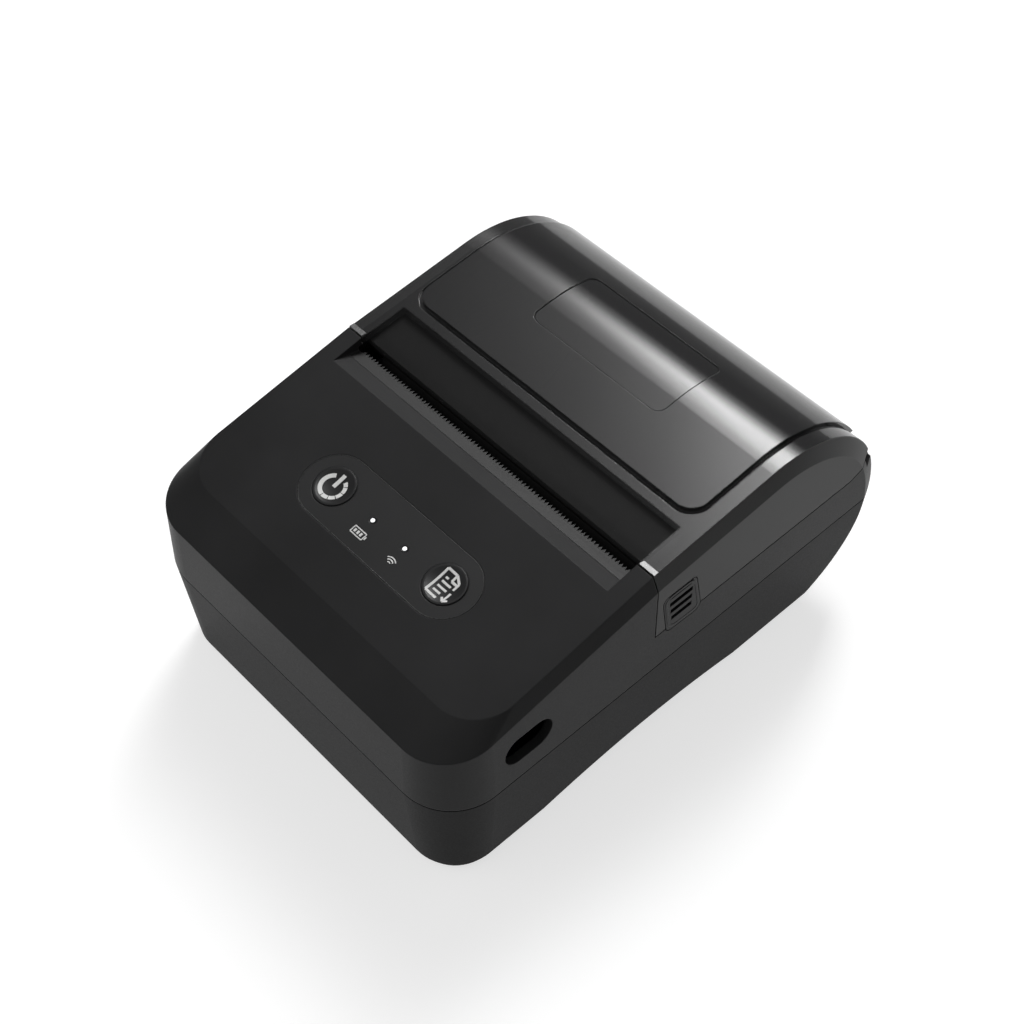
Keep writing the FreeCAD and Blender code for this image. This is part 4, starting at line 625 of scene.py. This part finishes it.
# %% Give each solid its finish
finishes = {
    case_finish: ["top_case"],
    lower_finish: ["bottom_case"],
    panel_finish: ["control_panel"],
    key_finish: ["power_button", "feed_button"],
    release_finish: ["release_button_left", "release_button_right"],
    lid_finish: ["lid_shell"],
    inner_finish: ["inner_chassis", "paper_sensor"],
    carrier_finish: ["platen_carrier"],
    rubber_finish: ["rubber_feet", "platen_rubber"],
    nylon_finish: ["motor_pinion", "idler_gear", "platen_gear", "platen_bushes"],
    chip_finish: ["key_switches", "board_chips", "board_capacitors"],
    socket_finish: ["board_connectors"],
    sleeve_finish: ["battery_lead", "motor_lead"],
    ceramic_finish: ["head_ceramic"],
    wrap_finish: ["battery_pack"],
    blade_finish: ["tear_bar"],
    sink_finish: ["head_heatsink"],
    board_finish: ["main_board", "key_board"],
    cable_finish: ["key_cable", "head_cable"],
    pin_finish: ["led_light_pipes", "key_leds"],
    steel_finish: ["case_screws", "key_board_screws", "board_screws", "mechanism_screws", "motor_screws",
                   "carrier_screws", "mech_frame", "motor_body", "motor_shaft", "idler_pin", "idler_clip",
                   "head_pivot_pin", "head_springs", "hinge_pin", "platen_shaft", "usb_socket",
                   "radio_module"],
}
for finish, names in finishes.items():
    for name in names:
        nodes[name].data.materials.clear()
        nodes[name].data.materials.append(finish)
dressed = sum(len(names) for names in finishes.values())
print("solids dressed:", dressed, "of", len(nodes))

# %% [markdown]
# ## Printed marks
# The keys carry a power sign and a paper-feed sign in white ink, and the panel has a small battery
# and a small signal sign under its lights. A mark is drawn as pen strokes. Each stroke is a thin
# raised bead of ink, a profile carried along a path, and its height follows the surface below it,
# so the ink lies in the dish of a key and flat on the panel. Ink could be painted in the material
# instead, but a bead has sharp edges at any distance.

# %% Panel frame
panel_low, panel_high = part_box("control_panel")
panel_thickness = 1.0 * MM
panel_normal = -Vector(joints["power_press"]["axis"])
panel_back = panel_normal.cross(Vector((1.0, 0.0, 0.0)))
panel_centre = (panel_low + panel_high) / 2 + panel_normal * (panel_thickness / 2)
panel_axes = np.array([(1.0, 0.0, 0.0), panel_back, panel_normal])
print("panel centre in mm:", np.round(np.array(panel_centre) / MM, 2).tolist())


def on_panel(points):
    """Points in panel millimetres, to the right, back and up, carried into the printer's frame."""
    return np.array(panel_centre) + (points * MM) @ panel_axes


# %% Ink strokes
ink_height = 0.035
ink_edge = 0.06
profile_points = 4


def band_faces(rows, closed):
    """Quads between copies of a closed profile along a path. An open path gets a cap at each end."""
    columns = profile_points
    row = np.arange(rows if closed else rows - 1)[:, None]
    column = np.arange(columns)[None, :]
    beside = (column + 1) % columns
    following = (row + 1) % rows
    quads = [row * columns + column, row * columns + beside, following * columns + beside,
             following * columns + column]
    faces = np.stack([np.broadcast_to(quad, (len(row), columns)) for quad in quads], -1).reshape(-1, 4)
    if closed:
        return faces
    first = np.arange(columns)
    return np.concatenate([faces, [first[::-1], first + (rows - 1) * columns]])


def stroke(path, width, ground, closed=False):
    """A bead of ink: a low flat-topped profile carried along a flat path, on a ground height."""
    path = np.asarray(path, float)
    if closed:
        along = np.roll(path, -1, 0) - np.roll(path, 1, 0)
    else:
        along = np.gradient(path, axis=0)
    along /= np.linalg.norm(along, axis=1, keepdims=True)
    side = np.stack([-along[:, 1], along[:, 0]], 1)
    across = np.array([0.5, 0.5 - ink_edge / width, ink_edge / width - 0.5, -0.5]) * width
    rise = np.array([0.0, ink_height, ink_height, 0.0])
    flat = path[:, None, :] + side[:, None, :] * across[None, :, None]
    height = ground(flat[..., 0], flat[..., 1]) + rise[None, :]
    points = np.concatenate([flat, height[..., None]], -1).reshape(-1, 3)
    return points, band_faces(len(path), closed)


print("ink height and edge in mm:", ink_height, ink_edge)

# %% Pieces and pen lines
def join(strokes):
    """Several point and face lists as one, with the faces counted on."""
    points = np.concatenate([piece[0] for piece in strokes])
    starts = np.cumsum([0] + [len(piece[0]) for piece in strokes[:-1]])
    faces = np.concatenate([piece[1] + start for piece, start in zip(strokes, starts)])
    return points, faces


def make_piece(name, points, faces, finish, body):
    """A mesh in the printer's own frame that rides on a body and wears a finish."""
    mesh = bpy.data.meshes.new(name)
    mesh.from_pydata(points.tolist(), [], faces.tolist())
    mesh.materials.append(finish)
    piece = bpy.data.objects.new(name, mesh)
    bpy.context.scene.collection.objects.link(piece)
    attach(piece, body)
    print(name, "faces:", len(faces))
    return piece


def line(start, end, steps=8):
    """A straight pen line between two points."""
    share = np.linspace(0.0, 1.0, steps)[:, None]
    return np.array(start) * (1 - share) + np.array(end) * share


def bow(centre, radius, start, end, steps=40):
    """A pen line round a circle, from one angle to another in degrees."""
    angle = np.radians(np.linspace(start, end, steps))
    return np.array(centre) + radius * np.stack([np.cos(angle), np.sin(angle)], 1)


ink_finish = plastic("white_ink", (0.72, 0.72, 0.71), 0.55, grain_scale=1800.0, grain_depth=0.01,
                     edge_radius=0.05, edge_lift=1.05, drift=0.04)
print("ink finish:", ink_finish.name)

# %% Key dish
key_low, key_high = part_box("feed_button")
key_offset = (key_low.x + key_high.x) / 2 / MM
key_radius = 4.8
key_rim = 0.48
key_rise = 0.2
dish_depth = 0.5
dish_ball = ((key_radius - key_rim) ** 2 + dish_depth ** 2) / (2 * dish_depth)
ink_lift = 0.01


def dish(centre_x):
    """Height of a key's hollow top: the lower cap of a large ball, lifted a hair for the ink."""
    def ground(x, y):
        away = (x - centre_x) ** 2 + y ** 2
        return key_rise - dish_depth + dish_ball - np.sqrt(dish_ball ** 2 - away) + ink_lift
    return ground


print("key spacing in mm:", round(2 * key_offset, 2), "dish ball radius in mm:", round(dish_ball, 2))

# %% Power mark
power_radius = 2.8
power_width = 1.0
power_shift = (-0.35, -0.3)
power_centre = np.array([-key_offset, 0.0]) + power_shift
bar_from, bar_to = 0.1, 3.6
solid_from, solid_to = 123.0, 262.0
ring_end = 360.0 + 62.0
dash_span, dash_gap, dash_count = 30.0, 3.4, 5

on_left_key = dish(-key_offset)
power_strokes = [
    stroke(bow(power_centre, power_radius, solid_from, solid_to), power_width, on_left_key),
    stroke(line(power_centre + (0.0, bar_from), power_centre + (0.0, bar_to)), power_width, on_left_key),
]
for dash in range(dash_count):
    start = solid_to + dash_gap + dash * (dash_span + dash_gap)
    end = min(start + dash_span, ring_end)
    dash_line = bow(power_centre, power_radius, start, end, steps=10)
    power_strokes.append(stroke(dash_line, power_width, on_left_key))
points, faces = join(power_strokes)
make_piece("power_mark", on_panel(points), faces, ink_finish, "power_key")

# %% Feed mark
page_left, page_right = -2.22, 2.24
page_low, page_high = -3.4, 3.15
fold, fold_share = 1.75, 0.7
foot_to, side_to = 0.9, 0.15
page_pen = 0.6
text_pen = 0.55
page_lines = [
    ((foot_to, page_low), (page_left, page_low), (page_left, page_high), (page_right - fold, page_high),
     (page_right, page_high - fold * fold_share), (page_right, side_to)),
    ((page_right - fold, page_high), (page_right - fold, page_high - fold), (page_right, page_high - fold)),
]
text_lines = [((-1.25, 1.4), (-0.45, 1.4)), ((-1.25, 0.3), (1.35, 0.3)), ((-1.25, -0.95), (1.4, -0.95)),
              ((-1.25, -2.15), (0.8, -2.15))]
arrow_x, arrow_high, arrow_low, arrow_barb = 2.5, -0.65, -3.2, 0.85
arrow_lines = [((arrow_x, arrow_high), (arrow_x, arrow_low)),
               ((arrow_x - arrow_barb, arrow_low + arrow_barb), (arrow_x, arrow_low)),
               ((arrow_x + arrow_barb, arrow_low + arrow_barb), (arrow_x, arrow_low))]

on_right_key = dish(key_offset)
on_key = np.array([key_offset, 0.0])
feed_strokes = []
for outline in page_lines:
    feed_strokes += [stroke(line(on_key + a, on_key + b), page_pen, on_right_key)
                     for a, b in zip(outline[:-1], outline[1:])]
for a, b in text_lines + arrow_lines:
    feed_strokes.append(stroke(line(on_key + a, on_key + b), text_pen, on_right_key))
points, faces = join(feed_strokes)
make_piece("feed_mark", on_panel(points), faces, ink_finish, "feed_key")

# %% Panel marks
def on_film(x, y):
    """The panel's own face, a hair above zero so that ink and panel don't share a plane."""
    return np.full(np.shape(x), ink_lift)


light_offset = 5.1
mark_back = -4.05
mark_pen = 0.3
battery_half, battery_tall, battery_tip = 1.75, 0.85, 0.4
charge_bars = (-1.0, -0.1, 0.8)
wave_radii = (0.55, 1.15, 1.75)
wave_from, wave_to = 45.0, 135.0

battery_at = np.array([-light_offset, mark_back])
battery_corners = np.array([(-1, -1), (1, -1), (1, 1), (-1, 1), (-1, -1)])
battery = battery_at + battery_corners * (battery_half, battery_tall)
mark_strokes = [stroke(line(a, b), mark_pen, on_film) for a, b in zip(battery[:-1], battery[1:])]
tip = battery_at + (battery_half + battery_tip, 0.0)
mark_strokes.append(stroke(line(tip - (0.0, battery_tip), tip + (0.0, battery_tip)), battery_tip, on_film))
for bar in charge_bars:
    foot = battery_at + (bar, -battery_tall / 2)
    mark_strokes.append(stroke(line(foot, foot + (0.0, battery_tall)), 2 * mark_pen, on_film))
for radius in wave_radii:
    wave = bow((light_offset, mark_back - battery_tall), radius, wave_from, wave_to, steps=16)
    mark_strokes.append(stroke(wave, mark_pen, on_film))
points, faces = join(mark_strokes)
make_piece("panel_marks", on_panel(points), faces, ink_finish, "case")

# %% [markdown]
# ## Panel rim
# The overlay sits in a recess and its edge catches the light as a hairline all round. A bevel on the
# solid would be lost at this size, so the hairline is a narrow bead along a stadium: two straight
# runs and two half circles.

# %% Panel rim
rim_radius = 8.1
rim_width = 0.22
rim_finish = plastic("rim_grey", (0.022, 0.022, 0.022), 0.3, grain_depth=0.004, edge_radius=0.05,
                     edge_lift=1.2)
rim_middle = rim_radius - rim_width / 2
right_turn = bow((key_offset, 0.0), rim_middle, -90.0, 90.0, steps=48)
left_turn = bow((-key_offset, 0.0), rim_middle, 90.0, 270.0, steps=48)
points, faces = stroke(np.concatenate([right_turn, left_turn]), rim_width, on_film, closed=True)
make_piece("panel_rim", on_panel(points), faces, rim_finish, "case")

# %% [markdown]
# ## Key skirts and light bezels
# A soft skirt of the overlay closes the slit round each key, and a dark ring narrows each light to a
# small point. Both are turned shapes: a short profile of radius and height carried round a circle.
# The Screw modifier turns a profile too, but here the ring comes out closed and in its place at once.

# %% Key skirts
def turned(centre, profile, steps=72):
    """A closed ring: a profile of four points, radius and height, carried round a circle."""
    angle = np.linspace(0.0, 2 * np.pi, steps, endpoint=False)[:, None]
    radius, height = np.array(profile).T
    rings = np.stack([centre[0] + radius * np.cos(angle), centre[1] + radius * np.sin(angle),
                      np.broadcast_to(height, (steps, len(height)))], -1)
    return rings.reshape(-1, 3), band_faces(steps, True)


skirt_profile = ((key_radius + 0.02, -0.12), (key_radius + 0.05, -0.03), (key_radius + 0.16, 0.0),
                 (key_radius + 0.26, 0.012))
points, faces = join([turned((side * key_offset, 0.0), skirt_profile) for side in (-1, 1)])
make_piece("key_skirts", on_panel(points), faces, panel_finish, "case")

# %% Light bezels
pipe_low, pipe_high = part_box("led_light_pipes")
pipe_middle = ((pipe_low + pipe_high) / 2 - panel_centre).dot(panel_back) / MM
pipe_radius = (pipe_high.x - pipe_low.x) / 2 / MM - light_offset
light_radius = 0.5
bezel_profile = ((light_radius, 0.012), (light_radius + 0.06, 0.03), (pipe_radius + 0.1, 0.03),
                 (pipe_radius + 0.2, 0.008))
points, faces = join([turned((side * light_offset, pipe_middle), bezel_profile) for side in (-1, 1)])
make_piece("light_bezels", on_panel(points), faces, panel_finish, "case")
print("light pipe radius in mm:", round(pipe_radius, 2), "behind the middle by", round(pipe_middle, 2))

# %% [markdown]
# ## Label shadow line
# The window has a shallow field for a label, and a fine dark line on its floor along its wall is painted
# shadow of that wall. The line could be projected on the lid's mesh, but a formula is smoother: the lid is
# a straight slope that runs into a circle. The circle's centre lies its radius below the lid's highest
# point and a known reach from the hinge.

# %% Lid curve
lid_radius, window_raise = 34.9, 0.8
window_radius = lid_radius + window_raise
hinge_reach = 32.28
lid_slope = math.radians(5.4)
hinge_y, hinge_z = (value / MM for value in joints["lid_hinge"]["pos_m"][1:])
curve_z = lid_high.z / MM - window_radius
curve_y = hinge_y - math.sqrt(hinge_reach ** 2 - (hinge_z - curve_z) ** 2)
curve_starts = curve_y - window_radius * math.sin(lid_slope)


def on_window(x, y):
    """Height of the raised window: a straight slope that runs into a circle round the curve's centre."""
    straight = curve_z + window_radius * math.cos(lid_slope) + (y - curve_starts) * math.tan(lid_slope)
    away = np.clip(y - curve_y, -window_radius, window_radius)
    round_part = curve_z + np.sqrt(window_radius ** 2 - away ** 2)
    return np.where(y < curve_starts, straight, round_part) + ink_lift


print("lid curve centre in mm:", round(curve_y, 2), round(curve_z, 2))

# %% Label shadow line
label_half_width, label_corner = 20.0, 2.5
label_behind_edge, label_length = 29.35, 20.4
label_front = lid_low.y / MM + label_behind_edge
label_rear = label_front + label_length
shadow_line_width = 0.24
label_depth = 0.2
shadow_line_finish = plastic("painted_shadow_line", (0.010, 0.010, 0.010), 0.5, grain_depth=0.002, edge_radius=0.05,
                      shine=0.1)


def round_frame(half_width, low, high, radius, steps=24):
    """A closed path round a rectangle with round corners: four sides and four quarter turns."""
    side, near, far = half_width - radius, low + radius, high - radius
    runs = [((-side, low), (side, low)), ((half_width, near), (half_width, far)),
            ((side, high), (-side, high)), ((-half_width, far), (-half_width, near))]
    turns = [((side, near), -90.0), ((side, far), 0.0), ((-side, far), 90.0), ((-side, near), 180.0)]
    pieces = []
    for (start, end), (centre, angle) in zip(runs, turns):
        pieces += [line(start, end, steps)[:-1], bow(centre, radius, angle, angle + 90.0, steps=10)[:-1]]
    return np.concatenate(pieces)


inset = shadow_line_width / 2
label_path = round_frame(label_half_width - inset, label_front + inset, label_rear - inset,
                         label_corner - inset)
# A dark bead along the wall of the label recess: painted shadow of that wall.
points, faces = stroke(label_path, shadow_line_width, on_window, closed=True)
points[:, 2] -= label_depth
make_piece("label_shadow_line", points * MM, faces, shadow_line_finish, "lid")

# %% [markdown]
# ## Lid corner tabs
# At each front corner of the lid a small polished tab catches the softbox as a bright spot. A tab is
# a wedge that lies on the lid: its top is tipped back a little, so that it mirrors the lamp.

# %% Corner tabs
tab_from, tab_to, tab_length = 43.5, 47.7, 1.35
tab_tip = 0.164
tab_sunk = 0.1
tab_setback = 0.05
tab_finish = plastic("polished_tab", (0.05, 0.05, 0.051), 0.27, grain_depth=0.001, edge_radius=0.08)


def wedge(side):
    """Four profile points, front and rear, foot and top, carried from one end of the tab to the other."""
    front_y = lid_low.y / MM + tab_setback
    rear_y = front_y + tab_length
    drop = window_raise / math.cos(lid_slope)
    lid_front, lid_rear = (on_window(0.0, y) - drop for y in (front_y, rear_y))
    profile = np.array([(front_y, lid_front - tab_sunk), (front_y, lid_front + tab_length * tab_tip),
                        (rear_y, lid_rear), (rear_y, lid_rear - tab_sunk)])
    ends = np.sort(side * np.array([tab_from, tab_to]))
    points = np.concatenate([np.insert(profile, 0, x, axis=1) for x in ends])
    return points, band_faces(len(ends), False)[:, ::-1]


points, faces = join([wedge(side) for side in (-1, 1)])
make_piece("lid_corner_tabs", points * MM, faces, tab_finish, "lid")

# %% [markdown]
# ## Release button frames
# Each release button has a raised frame round its ribs. The side walls lean, so the frame can't be
# drawn upright: it is a bead along the button's outline, on a plane fitted to the outer points of
# the CAD button. Round corners keep it clear of the case when the button is pressed.

# %% Release frames
release_corners = ((2.35, 51.5), (3.95, 40.85), (12.95, 40.5), (11.0, 51.5))
frame_pen = 0.75
frame_corner = 2.2
face_depth = 0.4


def side_plane(name, side):
    """The plane of a button's face: reach as a linear function of depth and height, by least squares."""
    mesh = nodes[name].data
    spots = np.empty(3 * len(mesh.vertices))
    mesh.vertices.foreach_get("co", spots)
    spots = spots.reshape(-1, 3) / MM
    reach = side * spots[:, 0]
    outer = reach > reach.max() - face_depth
    terms = np.stack([np.ones(outer.sum()), spots[outer, 1], spots[outer, 2]], 1)
    weights = np.linalg.lstsq(terms, reach[outer], rcond=None)[0]
    return lambda depth, height: weights[0] + weights[1] * depth + weights[2] * height + ink_lift


def rounded_chain(corners, radius, steps=9):
    """A closed path through corners, each rounded as a parabola between a point before and after it."""
    share = np.linspace(0.0, 1.0, steps)[None, :, None]
    ways = np.roll(corners, -1, 0) - corners
    ways = radius * ways / np.linalg.norm(ways, axis=1, keepdims=True)
    before = (corners - np.roll(ways, 1, 0))[:, None, :]
    after = (corners + ways)[:, None, :]
    bends = before * (1 - share) ** 2 + 2 * corners[:, None, :] * share * (1 - share) + after * share ** 2
    return bends.reshape(-1, 2)


release_path = rounded_chain(np.array(release_corners) + (lid_low.y / MM, 0.0), frame_corner)
for name, side in (("release_button_right", 1), ("release_button_left", -1)):
    points, faces = stroke(release_path, frame_pen, side_plane(name, side), closed=True)
    placed = np.stack([side * points[:, 2], points[:, 0], points[:, 1]], 1)
    make_piece(name.replace("button", "frame"), placed * MM, faces[:, ::side], release_finish,
               name.replace("_button", ""))

# %% [markdown]
# ## Tear blade
# The blade in the photograph has finer teeth than the CAD solid, so this piece takes the solid's
# place and keeps its size. It is a strip with four profile points, and the two at the cutting edge
# move in and out along the width as a saw-tooth wave. The slope follows from the solid's box, whose
# depth is the length times the cosine plus the thickness times the sine, and whose height is the
# length times the sine plus the thickness times the cosine.

# %% Tear blade
blade_low, blade_high = (np.array(corner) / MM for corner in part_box("tear_bar"))
blade_length, blade_thick = 4.2, 0.8
fine_pitch, fine_length, fine_margin = 1.0, 1.2, 0.5
span = blade_high - blade_low
blade_cos = (blade_length * span[1] - blade_thick * span[2]) / (blade_length ** 2 - blade_thick ** 2)
blade_sin = (blade_length * span[2] - blade_thick * span[1]) / (blade_length ** 2 - blade_thick ** 2)
teeth = int((span[0] - 2 * fine_margin) / fine_pitch)

half_steps = np.arange(2 * teeth + 1)
row_x = np.concatenate([[blade_low[0]], (half_steps - teeth) * fine_pitch / 2, [blade_high[0]]])
row_tip = np.concatenate([[0.0], half_steps % 2, [0.0]]) * fine_length
edge = blade_length - fine_length + row_tip
start = np.zeros_like(edge)
along = np.stack([start, start, edge, edge], 1)
down = np.broadcast_to([blade_thick, 0.0, 0.0, blade_thick], along.shape)
front_top = np.array([blade_low[1] + blade_thick * blade_sin, blade_high[2]])
blade_y = front_top[0] + along * blade_cos - down * blade_sin
blade_z = front_top[1] - along * blade_sin - down * blade_cos
points = np.stack([np.broadcast_to(row_x[:, None], along.shape), blade_y, blade_z], -1).reshape(-1, 3)
faces = band_faces(len(row_x), False)[:, ::-1]
blade = make_piece("tear_blade", points * MM, faces, blade_finish, "case")
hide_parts("tear_bar")
blade_slope = math.degrees(math.atan2(blade_sin, blade_cos))
print("fine teeth:", teeth, "blade slope in degrees:", round(blade_slope, 1))
